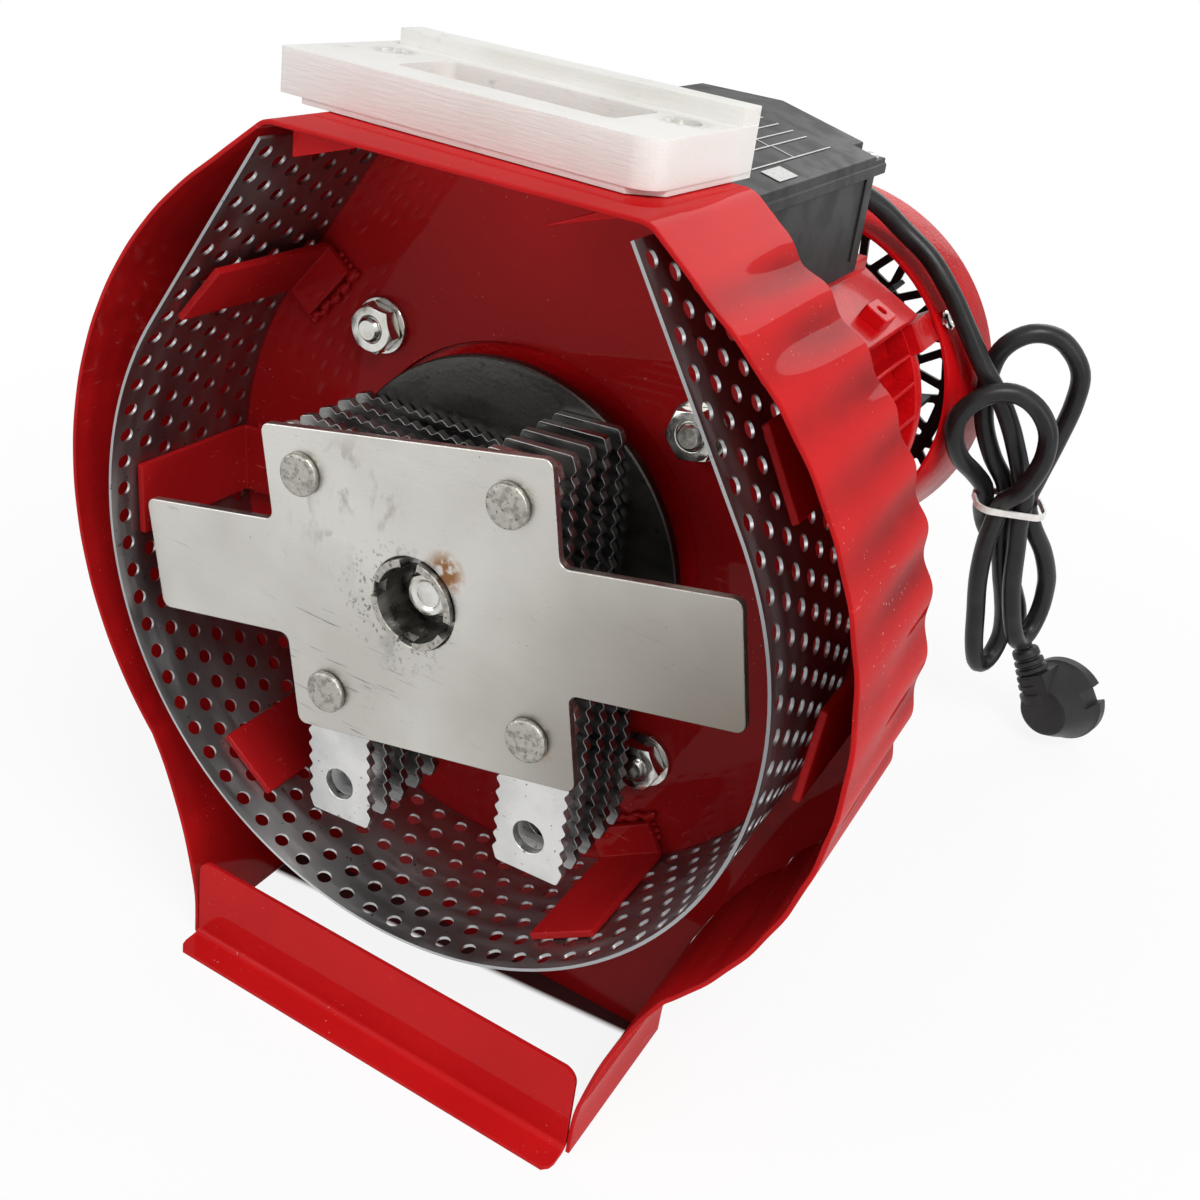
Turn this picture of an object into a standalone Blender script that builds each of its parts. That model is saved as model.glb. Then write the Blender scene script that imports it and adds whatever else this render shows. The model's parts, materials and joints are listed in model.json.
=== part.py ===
"""Electric grain mill: a drum casing on a folded foot, four stacks of swinging hammers on a
cross-shaped rotor, a sieve, a feed block and a mains motor with its lead."""

import math

import bmesh
import bpy
from mathutils import Matrix, Vector

# Driving sizes: the hammers set the pins, the pins set the sieve, and the sieve sets the drum
GAP = 0.0003
AXIS_HEIGHT = 0.1667
HAMMER_REACH = 0.0505
HAMMER_WIDTH = 0.0250
HAMMER_SPACE = 0.0114
PIN_X = (HAMMER_REACH + HAMMER_WIDTH / 2.0 + HAMMER_SPACE) / 2.0
PIN_DROP = 0.0013
PIN_Z = PIN_X - PIN_DROP
PIN_CIRCLE_RADIUS = math.hypot(PIN_X, PIN_Z)
TIP_CLEARANCE = 0.0139
SIEVE_RADIUS = PIN_CIRCLE_RADIUS + HAMMER_REACH + TIP_CLEARANCE
FLOUR_GAP = 0.0216
DRUM_RADIUS = SIEVE_RADIUS + FLOUR_GAP
DISC_EDGE = 0.0129
DISC_RADIUS = PIN_CIRCLE_RADIUS + DISC_EDGE

# Casing sheet, measured from the drum's axis
SHEET = 0.0015
DRUM_RISE = 0.0025
DRUM_DEPTH = 0.0614
TOP_HALF_WIDTH = 0.0604
TOP_PROUD = 0.00375
TOP_HEIGHT = DRUM_RISE + math.sqrt((DRUM_RADIUS + TOP_PROUD) ** 2 - TOP_HALF_WIDTH**2)
LEG_HALF_WIDTH = 0.0795
RIPPLE_PITCH = 0.0175
RIPPLE_HEIGHT = 0.0009
ARC_END_ANGLE = -42.7
LEG_X_SHARES = (1.19, 1.09, 1.025, 1.004, 1.0)
LEG_Z_SHARES = (0.62, 0.742, 0.858, 0.918, 1.0)
CORNER_SEGMENTS = 4
SHARP_ANGLE = 35.0

# Back plate and what is welded to it
BACK_PLATE_FRONT = 0.0580
DISC_CLEARANCE = 0.0019
BACK_HOLE_RADIUS = DISC_RADIUS + DISC_CLEARANCE
STUD_EDGE = 0.0160
STUD_CIRCLE_RADIUS = BACK_HOLE_RADIUS + STUD_EDGE
STUD_ANGLES = (45.0, 135.0, 225.0, 315.0)
STUD_HOLE_CLEARANCE = 0.0008
BRACKET_SHEET = 0.0025
OUTER_BRACKET_FRONT = 0.0120
BRACKET_TIP = 0.0060
FOOT_DEPTH = 0.0130
OUTER_FOOT_DEPTH = 0.0095
FOOT_SHEET = 0.0014
INNER_BRACKET_WIDTH = 0.0245
INNER_BRACKETS = ((141.4, 0.0055), (183.4, 0.0065), (234.5, 0.0090), (302.2, 0.0100))
OUTER_BRACKET_SPACE = 0.0039
OUTER_BRACKET_RADIUS = SIEVE_RADIUS + OUTER_BRACKET_SPACE
OUTER_BRACKET_WIDTH = 0.0260
OUTER_BRACKET_ANGLES = (36.0, -1.5)
GUSSET_FRONT = 0.0040
GUSSET_WIDTH = 0.0260
GUSSET_TIE = 0.0180
GUSSET_DROP = 0.0085
GUSSET_INSET = 0.0070

# Folded foot rail at the front
RAIL_HEIGHT = 0.0332
RAIL_FOOT = 0.0100
RAIL_CORNER = 0.0050
RAIL_CHAMFER = 0.0025

# Feed block
BLOCK_LENGTH = 0.1290
BLOCK_DEPTH = 0.0550
BLOCK_X = -0.0115
BLOCK_Y = 0.0485
BLOCK_SKEW = -3.5
BLOCK_HEIGHT = 0.0153
BLOCK_STEP_HEIGHT = 0.0018
BLOCK_STEP_WIDTH = 0.0090
BLOCK_CORNER = 0.0080
BLOCK_SMALL_CORNER = 0.0020
BLOCK_RAIL_HEIGHT = 0.0052
BLOCK_RAIL_DEPTH = 0.0100
BLOCK_RAIL_INSET = 0.0060
WINDOW_LEFT = -0.0330
WINDOW_RIGHT = 0.0420
WINDOW_FRONT = -0.0140
WINDOW_BACK = 0.0110
INLET_DEPTH = 0.0180
SCREW_RADIUS = 0.0022
SCREW_LENGTH = 0.0130
SCREW_HEAD_RADIUS = 0.0042
SCREW_HEAD_HEIGHT = 0.0022
SCREW_SINK = 0.0030
SCREW_LEFT_X = -0.0500
SCREW_RIGHT_X = 0.0530
SCREW_Y = 0.0050

# Sieve
SIEVE_SHEET = 0.0010
SIEVE_FRONT = -0.0038
SIEVE_END_INSET = 0.0019
SIEVE_END_DROP = 0.0030
SIEVE_STEP = 6.0

# Rotor
ROTOR_TILT = 12.0
PLATE_FRONT = 0.0036
PLATE_SHEET = 0.0030
PIN_EDGE = 0.0145
CROSS_WIDTH = 2.0 * (PIN_X + PIN_EDGE)
CROSS_HEIGHT = 2.0 * (PIN_Z + PIN_EDGE)
CROSS_CLEARANCE = 0.0101
CROSS_REACH = 2.0 * (SIEVE_RADIUS - CROSS_CLEARANCE)
CROSS_ARM = 0.0385
CROSS_CORNER = 0.0030
PIN_RADIUS = 0.0050
PIN_HEAD_RADIUS = 0.0069
PIN_HEAD_HEIGHT = 0.0021
PIN_COLLAR_RADIUS = 0.0074
PIN_SIDES = 10
DISC_FRONT = 0.0466
DISC_SHEET = 0.0040
HUB_RADIUS = 0.0144
HUB_BORE_RADIUS = 0.0125
HUB_PROUD = 0.0016
HUB_SLOTS = 6
HUB_SLOT_TURN_SHARE = 0.35
HUB_SLOT_WIDTH = 0.0042
HUB_SLOT_DEPTH = 0.0030
HUB_BACK = 0.0560
BOLT_FRONT = 0.0100
BOLT_HEAD_ACROSS = 0.0130
BOLT_HEAD_HEIGHT = 0.0055
BOLT_WASHER_RADIUS = 0.0100
BOLT_WASHER_SHEET = 0.0020
SHAFT_RADIUS = 0.0095
SHAFT_FIT = 0.0005

# Hammers
HAMMER_END = 0.0130
HAMMER_LENGTH = HAMMER_REACH + HAMMER_END
HAMMER_HOLE_SPACING = HAMMER_REACH - HAMMER_END
HAMMER_SHEET = 0.0030
HAMMER_HOLE_RADIUS = 0.0055
HAMMER_FRONT = 0.0080
HAMMER_PITCH = 0.0088
HAMMERS_IN_STACK = 5
TOOTH_PITCH = 0.0050
TOOTH_DEPTH = 0.0013
STACKS = (
    ("upper_left", -1.0, 1.0, 0.0),
    ("upper_right", 1.0, 1.0, -86.0),
    ("lower_left", -1.0, -1.0, -85.0),
    ("lower_right", 1.0, -1.0, -87.0),
)

# Motor
FLANGE_EDGE = 0.0175
FLANGE_RADIUS = STUD_CIRCLE_RADIUS + FLANGE_EDGE
FLANGE_THICKNESS = 0.0100
FLANGE_BORE_RADIUS = 0.0140
FLANGE_STEP_RADIUS = 0.0560
STUD_RADIUS = 0.0042
STUD_PROUD = 0.0092
NUT_ACROSS = 0.0150
NUT_HEIGHT = 0.0058
NUT_WASHER_RADIUS = 0.0095
NUT_WASHER_SHEET = 0.0016
BARREL_RADIUS = 0.0620
BARREL_WALL = 0.0060
BARREL_BORE_RADIUS = BARREL_RADIUS - BARREL_WALL
FIN_HEIGHT = 0.0100
FIN_RADIUS = BARREL_RADIUS + FIN_HEIGHT
FIN_THICKNESS = 0.0026
FIN_STEP = 12.0
FIN_FIRST = -150.0
FIN_LAST = -30.0
SIDE_FIN_ANGLES = (-18.0, -6.0, 6.0, 18.0, 28.0, 152.0, 162.0, 174.0, 186.0, 198.0)
PAD_ANGLE = 63.4
PAD_DISTANCE = 0.0737
PAD_REACH = 0.0331
PAD_THICKNESS = 0.0050
PEDESTAL_HALF_WIDTH = 0.0360
PEDESTAL_TOP = 0.0700
BARREL_BACK = 0.2620
SHIELD_THICKNESS = 0.0100
SHIELD_LUG_WIDTH = 0.0130
SHIELD_LUG_DEPTH = 0.0107
SHIELD_LUG_MARGIN = 0.0023
STATOR_BORE_RADIUS = 0.0345
STATOR_FRONT = 0.1120
STATOR_BACK_SPACE = 0.0400
STATOR_LENGTH = BARREL_BACK - STATOR_BACK_SPACE - STATOR_FRONT
CORE_RADIUS = 0.0340
BEARING_RADIUS = 0.0200
BEARING_WIDTH = 0.0120
COWL_SPACE = 0.0150
COWL_DEPTH = 0.0380
COWL_FRONT = BARREL_BACK + SHIELD_THICKNESS + COWL_SPACE
COWL_BACK = COWL_FRONT + COWL_DEPTH
FAN_HUB_RADIUS = 0.0200
FAN_RADIUS = 0.0645
FAN_CLEARANCE = 0.0015
FAN_INSET = 0.0035
FAN_BACK_SPACE = 0.0105
FAN_FRONT = COWL_FRONT + FAN_INSET
FAN_DEPTH = COWL_DEPTH - FAN_INSET - FAN_BACK_SPACE
FAN_BLADE = 0.0022
FAN_BLADES = 7
COWL_SHEET = 0.0018
COWL_FLARE = 0.0105
COWL_FRONT_RADIUS = FAN_RADIUS + FAN_CLEARANCE + SHIELD_LUG_DEPTH + COWL_SHEET
COWL_BACK_RADIUS = COWL_FRONT_RADIUS + COWL_FLARE
COWL_EDGE = 0.0040
COWL_SPOKES = 9
COWL_SPOKE_WIDTH = 0.0030
COWL_HUB_RADIUS = 0.0230
SPOKE_INSET_SHARE = 0.2
COWL_RING_RADIUS = 0.0470
COWL_RING_WIDTH = 0.0032
COWL_SCREW_ANGLES = (32.6, 212.6)
COWL_SCREW_RADIUS = 0.0020
COWL_SCREW_SET_BACK = 0.0050

# Terminal box
BOX_HALF_WIDTH = 0.0412
BOX_FRONT = 0.1020
BOX_SET_BACK = 0.0280
BOX_BACK = BARREL_BACK - BOX_SET_BACK
BOX_WALL = 0.0030
BOX_TOP = 0.1120
LID_LIP = 0.0023
LID_TOP = 0.1290
LID_LOW = 0.1175
LID_CREASE_X = -0.0040
GLAND_X = 0.0180
GLAND_Z = 0.0960
GLAND_RADIUS = 0.0080
GLAND_TIP_RADIUS = 0.0060
GLAND_LENGTH = 0.0210

# Rear support under the motor
SUPPORT_FRONT = 0.1700
SUPPORT_BACK = 0.2000
SUPPORT_HALF_WIDTH = 0.0560
SUPPORT_NECK = 0.0300
SUPPORT_SHEET = 0.0040
SUPPORT_SEAT = 0.0240

# Mains lead
CORD_RADIUS = 0.0044
CORD_STEP = 0.0110
FOLD_STEP = 0.0075
CORD_SIDES_LEVEL = 1
HANK_CENTRE = (0.1110, 0.3120, -0.0380)
HANK_ALONG = (0.90153, 0.43271, 0.0)
HANK_LEAN = (-17.0, -22.0, 157.0)
TIE_HALF_WIDTH = 0.0162
TIE_FRONT = 0.0110
TIE_BEHIND = 0.0107
TIE_SHEET = 0.0012
TIE_HEIGHT = 0.0032
TIE_CORNER = 0.0060
PLUG_RADIUS = 0.0205
PLUG_DEPTH = 0.0270
PLUG_BACK_RADIUS = 0.0130
PLUG_RIM = 0.0060
PLUG_AXIS = (0.25, 0.97, 0.0)
PLUG_CENTRE = (0.1530, 0.3440)
BOOT_LENGTH = 0.0260
BOOT_RADIUS = 0.0068
BOOT_ROOT_RADIUS = 0.0105
PLUG_PIN_RADIUS = 0.0024
PLUG_PIN_LENGTH = 0.0190
PLUG_PIN_SPACING = 0.0190
NOTCH_WIDTH = 0.0090
NOTCH_DEPTH = 0.0040

# The lead's route from the gland to the hank, in shares of the drum's radius
LEAD_ROUTE_SHARES = (
    (0.1520, 1.975, 0.6850),
    (0.2250, 2.045, 0.6350),
    (0.3080, 2.080, 0.5700),
    (0.4070, 2.085, 0.5050),
    (0.4930, 2.085, 0.4170),
    (0.5650, 2.105, 0.3130),
    (0.6120, 2.130, 0.2350),
)

# The hank's route, across, up and forward of its tie, in shares of the cord's radius
HANK_ROUTE_SHARES = (
    (-6.205, 14.48, 0.0),
    (-4.77, 12.73, 0.0),
    (-3.48, 11.0, -0.1),
    (-2.05, 8.64, 0.0),
    (-0.91, 6.36, -0.05),
    (-0.11, 4.55, 0.23),
    (0.57, 2.95, 0.80),
    (1.08, 1.59, 0.95),
    (1.14, 0.0, 1.14),
    (1.32, -2.0, 1.14),
    (1.75, -4.5, 1.14),
    (2.5, -9.1, 1.14),
    (3.6, -13.2, 1.2),
    (4.6, -15.6, 1.0),
    (5.7, -16.8, -0.3),
    (6.9, -16.2, -1.7),
    (7.6, -14.0, -2.6),
    (7.5, -11.4, -2.6),
    (7.0, -9.1, -2.3),
    (5.6, -6.0, -1.8),
    (3.6, -3.0, -1.25),
    (2.18, 0.0, -1.09),
    (2.5, 2.7, -1.25),
    (3.4, 6.8, -1.7),
    (4.2, 11.4, -2.2),
    (3.8, 15.0, -2.3),
    (1.1, 17.9, -2.3),
    (-2.1, 18.1, -2.3),
    (-4.5, 15.9, -2.35),
    (-5.0, 12.2, -2.3),
    (-4.3, 8.0, -2.05),
    (-2.6, 4.4, -1.6),
    (-0.8, 2.0, -1.18),
    (0.0, 0.0, -1.09),
    (0.2, -2.5, -1.09),
    (0.6, -4.8, -1.09),
    (1.8, -9.1, -1.25),
    (2.9, -12.3, -1.7),
    (3.8, -15.3, -2.2),
    (4.1, -18.0, -2.2),
    (3.2, -20.2, -1.1),
    (1.6, -20.0, 0.5),
    (0.4, -17.2, 1.3),
    (-0.4, -13.2, 1.2),
    (-1.2, -8.8, 1.1),
    (-1.5, -4.2, 1.14),
    (-1.14, 0.0, 1.14),
    (-1.02, 1.14, 1.7),
    (-0.6, 2.3, 2.6),
    (0.0, 3.5, 3.2),
    (0.7, 5.5, 3.3),
    (1.15, 7.6, 3.0),
    (0.8, 10.1, 2.65),
    (-0.9, 12.3, 2.4),
    (-3.4, 13.4, 2.32),
    (-6.1, 12.7, 2.3),
    (-8.0, 10.5, 2.4),
    (-8.0, 7.7, 2.3),
    (-6.6, 5.1, 1.3),
    (-4.4, 2.9, -0.2),
    (-2.9, 1.3, -0.95),
    (-2.36, 0.0, -1.12),
    (-2.15, -1.4, -1.75),
    (-1.7, -2.7, -2.5),
    (-0.8, -4.6, -3.1),
    (0.9, -6.9, -3.4),
    (2.7, -9.3, -3.55),
    (4.3, -12.1, -3.75),
    (5.5, -14.6, -3.95),
    (6.2, -16.9, -4.0),
    (6.6, -18.0, -3.72),
    (7.4, -19.4, -3.0),
)


def clear_scene():
    for obj in list(bpy.data.objects):
        bpy.data.objects.remove(obj, do_unlink=True)


def material(name, colour, roughness, metallic=0.0):
    made = bpy.data.materials.new(name)
    made.use_nodes = True
    made.diffuse_color = (*colour, 1.0)
    shader = made.node_tree.nodes["Principled BSDF"]
    shader.inputs["Base Color"].default_value = (*colour, 1.0)
    shader.inputs["Roughness"].default_value = roughness
    shader.inputs["Metallic"].default_value = metallic
    return made


def add_object(name, bm, look, parent=None, smooth=False):
    """A named object from a finished bmesh, its faces turned out."""
    bmesh.ops.recalc_face_normals(bm, faces=bm.faces[:])
    if bm.calc_volume(signed=True) < 0.0:
        bmesh.ops.reverse_faces(bm, faces=bm.faces[:])
    mesh = bpy.data.meshes.new(name)
    bm.to_mesh(mesh)
    bm.free()
    if smooth:
        mesh.shade_smooth()
        mesh.set_sharp_from_angle(angle=math.radians(SHARP_ANGLE))
    obj = bpy.data.objects.new(name, mesh)
    bpy.context.scene.collection.objects.link(obj)
    obj.parent = parent
    if look:
        mesh.materials.append(look)
    return obj


def helper(obj):
    """Keeps a cutter or a joined shape out of the render and of the solids."""
    obj.hide_render = True
    obj.display_type = "WIRE"
    return obj


def combine(target, other, operation):
    helper(other)
    change = target.modifiers.new(operation.lower(), "BOOLEAN")
    change.solver = "EXACT"
    change.operation = operation
    change.object = other


def sheet(outline, holes, start, end, along="Y"):
    """A flat outline with holes, made solid from start to end along one axis."""
    place = {
        "Y": lambda u, v, s: (u, s, v),
        "Z": lambda u, v, s: (u, v, s),
        "X": lambda u, v, s: (s, u, v),
    }[along]
    bm = bmesh.new()
    edges = []
    for loop in [outline] + list(holes):
        verts = [bm.verts.new(place(u, v, start)) for u, v in loop]
        edges += [
            bm.edges.new((verts[i - 1], verts[i])) for i in range(len(verts))
        ]
    bmesh.ops.triangle_fill(bm, use_beauty=True, edges=edges)
    made = bmesh.ops.extrude_face_region(bm, geom=bm.faces[:])
    moved = [v for v in made["geom"] if isinstance(v, bmesh.types.BMVert)]
    shift = Vector(place(0.0, 0.0, end - start))
    bmesh.ops.translate(bm, verts=moved, vec=shift)
    return bm


def box(x_range, y_range, z_range):
    (x0, x1), (y0, y1) = x_range, y_range
    corners = [(x0, y0), (x1, y0), (x1, y1), (x0, y1)]
    return sheet(corners, [], z_range[0], z_range[1], along="Z")


def turned(profile, sides):
    """A closed profile of (radius, distance along Y) pairs, turned about the Y axis."""
    bm = bmesh.new()
    rings = []
    for radius, y in profile:
        if radius == 0.0:
            rings.append([bm.verts.new((0.0, y, 0.0))])
            continue
        turns = [math.tau * (i + 0.5) / sides for i in range(sides)]
        rings.append(
            [
                bm.verts.new((radius * math.cos(t), y, radius * math.sin(t)))
                for t in turns
            ]
        )
    for first, second in zip(rings, rings[1:] + rings[:1]):
        for i in range(sides):
            k = (i + 1) % sides
            corners = [
                first[i % len(first)],
                first[k % len(first)],
                second[k % len(second)],
                second[i % len(second)],
            ]
            corners = list(dict.fromkeys(corners))
            if len(corners) > 2:
                bm.faces.new(corners)
    return bm


def circle(x, z, radius, sides):
    turns = [math.tau * (i + 0.5) / sides for i in range(sides)]
    return [(x + radius * math.cos(t), z + radius * math.sin(t)) for t in turns]


def hexagon(across):
    return circle(0.0, 0.0, across / math.sqrt(3.0), 6)


def polar(radius, degrees):
    turn = math.radians(degrees)
    return radius * math.cos(turn), radius * math.sin(turn)


def turned_point(point, degrees):
    turn = math.radians(degrees)
    x, z = point
    return (
        x * math.cos(turn) - z * math.sin(turn),
        x * math.sin(turn) + z * math.cos(turn),
    )


def rounded(corners, radius, segments=3):
    """A closed outline with each corner rounded."""
    points = []
    count = len(corners)
    for i, corner in enumerate(corners):
        here = Vector(corner)
        before = (Vector(corners[i - 1]) - here).normalized()
        after = (Vector(corners[(i + 1) % count]) - here).normalized()
        half = before.angle(after) / 2.0
        reach = radius / math.tan(half)
        centre = here + (before + after).normalized() * radius / math.sin(half)
        first = here + before * reach - centre
        last = here + after * reach - centre
        for step in range(segments + 1):
            share = step / segments
            arm = first.lerp(last, share).normalized() * radius
            points.append(tuple(centre + arm))
    return points


def offset_inward(path, distance, centre_z):
    """The same open path moved sideways towards the drum's axis."""
    moved = []
    for i, point in enumerate(path):
        before = Vector(path[max(i - 1, 0)])
        after = Vector(path[min(i + 1, len(path) - 1)])
        along = (after - before).normalized()
        normal = Vector((-along.y, along.x))
        if normal.dot(Vector((0.0, centre_z)) - Vector(point)) < 0:
            normal = -normal
        moved.append(tuple(Vector(point) + normal * distance))
    return moved


def casing_path():
    """The casing's outside from the right foot over the top to the left foot.

    The right side is rippled and the left side is plain.
    """
    corner_angle = math.degrees(
        math.atan2(TOP_HEIGHT - DRUM_RISE, TOP_HALF_WIDTH)
    )
    lead = math.acos(DRUM_RADIUS / (DRUM_RADIUS + TOP_PROUD))
    start = corner_angle - math.degrees(lead)
    arc = math.radians(start - ARC_END_ANGLE) * DRUM_RADIUS
    steps = 2 * round(arc / RIPPLE_PITCH)
    sides = []
    for ripple in (RIPPLE_HEIGHT, 0.0):
        side = []
        for share_x, share_z in zip(reversed(LEG_X_SHARES), reversed(LEG_Z_SHARES)):
            side.append((share_x * LEG_HALF_WIDTH, -share_z * AXIS_HEIGHT))
        for i in range(steps + 1):
            turn = ARC_END_ANGLE + (start - ARC_END_ANGLE) * i / steps
            x, z = polar(DRUM_RADIUS - (ripple if i % 2 else 0.0), turn)
            side.append((x, z + DRUM_RISE))
        side.append((TOP_HALF_WIDTH, TOP_HEIGHT))
        sides.append(side)
    return sides[0] + [(-x, z) for x, z in reversed(sides[1])]


def sieve_path(radius):
    """The sieve's line: two straight ends that run into a round bottom."""
    end = Vector(
        (TOP_HALF_WIDTH - SIEVE_END_INSET, TOP_HEIGHT - SHEET - SIEVE_END_DROP)
    )
    start = math.degrees(math.atan2(end.y, end.x)) - math.degrees(
        math.acos(SIEVE_RADIUS / end.length)
    )
    steps = round((180.0 + 2.0 * start) / SIEVE_STEP)
    slide = Vector(polar(radius - SIEVE_RADIUS, start))
    points = [tuple(end + slide)]
    for i in range(steps + 1):
        points.append(polar(radius, start - (180.0 + 2.0 * start) * i / steps))
    points.append((-points[0][0], points[0][1]))
    return points


def on_block_seat(obj):
    """Places a shape that is drawn about the feed block's centre."""
    obj.location = (BLOCK_X, BLOCK_Y, 0.0)
    obj.rotation_euler = (0.0, 0.0, math.radians(BLOCK_SKEW))


def add_casing(parent, red):
    outside = casing_path()
    inside = offset_inward(outside, SHEET, 0.0)
    wrap = add_object(
        "casing_wrap",
        sheet(outside + inside[::-1], [], 0.0, DRUM_DEPTH),
        red,
        parent,
        smooth=True,
    )
    inlet = add_object(
        "inlet_cutter",
        box(
            (WINDOW_LEFT, WINDOW_RIGHT),
            (WINDOW_FRONT, WINDOW_FRONT + INLET_DEPTH),
            (TOP_HEIGHT - 2.0 * SHEET, TOP_HEIGHT + SHEET),
        ),
        None,
        parent,
    )
    on_block_seat(inlet)
    combine(wrap, inlet, "DIFFERENCE")
    root = TOP_HEIGHT - SHEET / 2.0
    tip = TOP_HEIGHT - SHEET - GUSSET_DROP
    edge = TOP_HALF_WIDTH - GUSSET_INSET
    left = [(-edge, tip), (GUSSET_WIDTH - edge, root), (-edge, root)]
    slip = GUSSET_WIDTH - GUSSET_TIE
    right = [(edge - GUSSET_WIDTH, tip), (edge, root), (edge - slip, root)]
    for name, corners in (("gusset_left", left), ("gusset_right", right)):
        gusset = add_object(
            name,
            sheet(corners, [], GUSSET_FRONT, GUSSET_FRONT + BRACKET_SHEET),
            None,
            parent,
        )
        combine(wrap, gusset, "UNION")
    return outside


def add_bracket(plate, parent, name, degrees, radius, width, front, inward):
    """A blade that runs forward from a foot welded to the back plate."""
    back = BACK_PLATE_FRONT + SHEET / 2.0
    half = width / 2.0
    blade = sheet(
        [
            (-half, back),
            (half, back),
            (half, front),
            (-half, front if inward else front + BRACKET_TIP),
        ],
        [],
        -BRACKET_SHEET / 2.0,
        BRACKET_SHEET / 2.0,
        along="Z",
    )
    blade_object = add_object(name + "_blade", blade, None, parent)
    reach = -FOOT_DEPTH if inward else OUTER_FOOT_DEPTH
    foot_object = add_object(
        name + "_foot",
        box(
            (FOOT_SHEET - half, half - FOOT_SHEET),
            (BACK_PLATE_FRONT - FOOT_SHEET, back - SHEET / 4.0),
            (min(0.0, reach), max(0.0, reach)),
        ),
        None,
        parent,
    )
    x, z = polar(radius, degrees)
    for obj in (blade_object, foot_object):
        obj.location = (x, 0.0, z)
        obj.rotation_euler = (0.0, math.radians(90.0 - degrees), 0.0)
    combine(plate, foot_object, "UNION")
    combine(plate, blade_object, "UNION")


def add_back_plate(parent, red, outside):
    outline = offset_inward(outside, SHEET + GAP, 0.0)
    floor = -AXIS_HEIGHT
    outline[0] = (outline[0][0], floor)
    outline[-1] = (outline[-1][0], floor)
    holes = [circle(0.0, 0.0, BACK_HOLE_RADIUS, 40)]
    for degrees in STUD_ANGLES:
        x, z = polar(STUD_CIRCLE_RADIUS, degrees)
        holes.append(circle(x, z, STUD_RADIUS + STUD_HOLE_CLEARANCE, 12))
    plate = add_object(
        "back_plate",
        sheet(outline, holes, BACK_PLATE_FRONT, BACK_PLATE_FRONT + SHEET),
        red,
        parent,
    )
    sieve_inside = SIEVE_RADIUS * math.cos(math.radians(SIEVE_STEP / 2.0)) - GAP
    inner_face = math.sqrt(sieve_inside**2 - (INNER_BRACKET_WIDTH / 2.0) ** 2)
    for i, (degrees, front) in enumerate(INNER_BRACKETS):
        add_bracket(
            plate,
            parent,
            f"inner_bracket_{i}",
            degrees,
            inner_face - BRACKET_SHEET / 2.0,
            INNER_BRACKET_WIDTH,
            front,
            True,
        )
    for i, degrees in enumerate(OUTER_BRACKET_ANGLES):
        add_bracket(
            plate,
            parent,
            f"outer_bracket_{i}",
            degrees,
            OUTER_BRACKET_RADIUS + BRACKET_SHEET,
            OUTER_BRACKET_WIDTH,
            OUTER_BRACKET_FRONT,
            False,
        )


def add_front_rail(parent, red):
    half = LEG_HALF_WIDTH - SHEET - GAP
    floor = -AXIS_HEIGHT
    top = floor + RAIL_HEIGHT
    corners = rounded([(half, top), (-half, top)] + [(-half, floor), (half, floor)], RAIL_CORNER)
    per_corner = 4
    web = corners[: 2 * per_corner] + [(-half, floor), (half, floor)]
    rail = add_object("front_rail", sheet(web, [], 0.0, SHEET), red, parent)
    foot = [
        (half, SHEET / 2.0),
        (-half, SHEET / 2.0),
        (-half, RAIL_CHAMFER - RAIL_FOOT),
        (RAIL_CHAMFER - half, -RAIL_FOOT),
        (half - RAIL_CHAMFER, -RAIL_FOOT),
        (half, RAIL_CHAMFER - RAIL_FOOT),
    ]
    fold = add_object(
        "rail_foot", sheet(foot, [], floor, floor + SHEET, along="Z"), None, parent
    )
    combine(rail, fold, "UNION")


def window_corners():
    return [
        (WINDOW_LEFT, WINDOW_FRONT),
        (WINDOW_RIGHT, WINDOW_FRONT),
        (WINDOW_RIGHT, WINDOW_BACK),
        (WINDOW_LEFT, WINDOW_BACK),
    ]


def block_outline():
    """The block's outline about its centre, its front right corner well rounded."""
    half, deep = BLOCK_LENGTH / 2.0, BLOCK_DEPTH / 2.0
    corners = [(-half, -deep), (half, -deep), (half, deep), (-half, deep)]
    small = rounded(corners, BLOCK_SMALL_CORNER, CORNER_SEGMENTS)
    big = rounded(corners, BLOCK_CORNER, CORNER_SEGMENTS)
    run = CORNER_SEGMENTS + 1
    return small[:run] + big[run : 2 * run] + small[2 * run :]


def add_feed_block(parent, nylon, steel):
    seat = TOP_HEIGHT + GAP
    top = TOP_HEIGHT + BLOCK_HEIGHT
    half, deep = BLOCK_LENGTH / 2.0, BLOCK_DEPTH / 2.0
    body = sheet(
        block_outline(), [window_corners()], seat + BLOCK_STEP_HEIGHT, top, along="Z"
    )
    block = add_object("feed_block", body, nylon, parent)
    on_block_seat(block)
    left, right = BLOCK_STEP_WIDTH - half, half - GAP
    front, back = GAP - deep, deep - GAP
    foot = add_object(
        "block_foot",
        sheet(
            [
                (left, front),
                (right - BLOCK_CORNER, front),
                (right, front + BLOCK_CORNER),
                (right, back),
                (left, back),
            ],
            [window_corners()],
            seat,
            seat + 2.0 * BLOCK_STEP_HEIGHT,
            along="Z",
        ),
        None,
        parent,
    )
    rail = add_object(
        "block_rail",
        box(
            (BLOCK_RAIL_INSET - half, right),
            (deep - BLOCK_RAIL_DEPTH, back),
            (top - BLOCK_STEP_HEIGHT, top + BLOCK_RAIL_HEIGHT),
        ),
        None,
        parent,
    )
    for extra in (foot, rail):
        on_block_seat(extra)
        combine(block, extra, "UNION")
    add_block_screws(parent, steel, block, seat, top)


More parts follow.
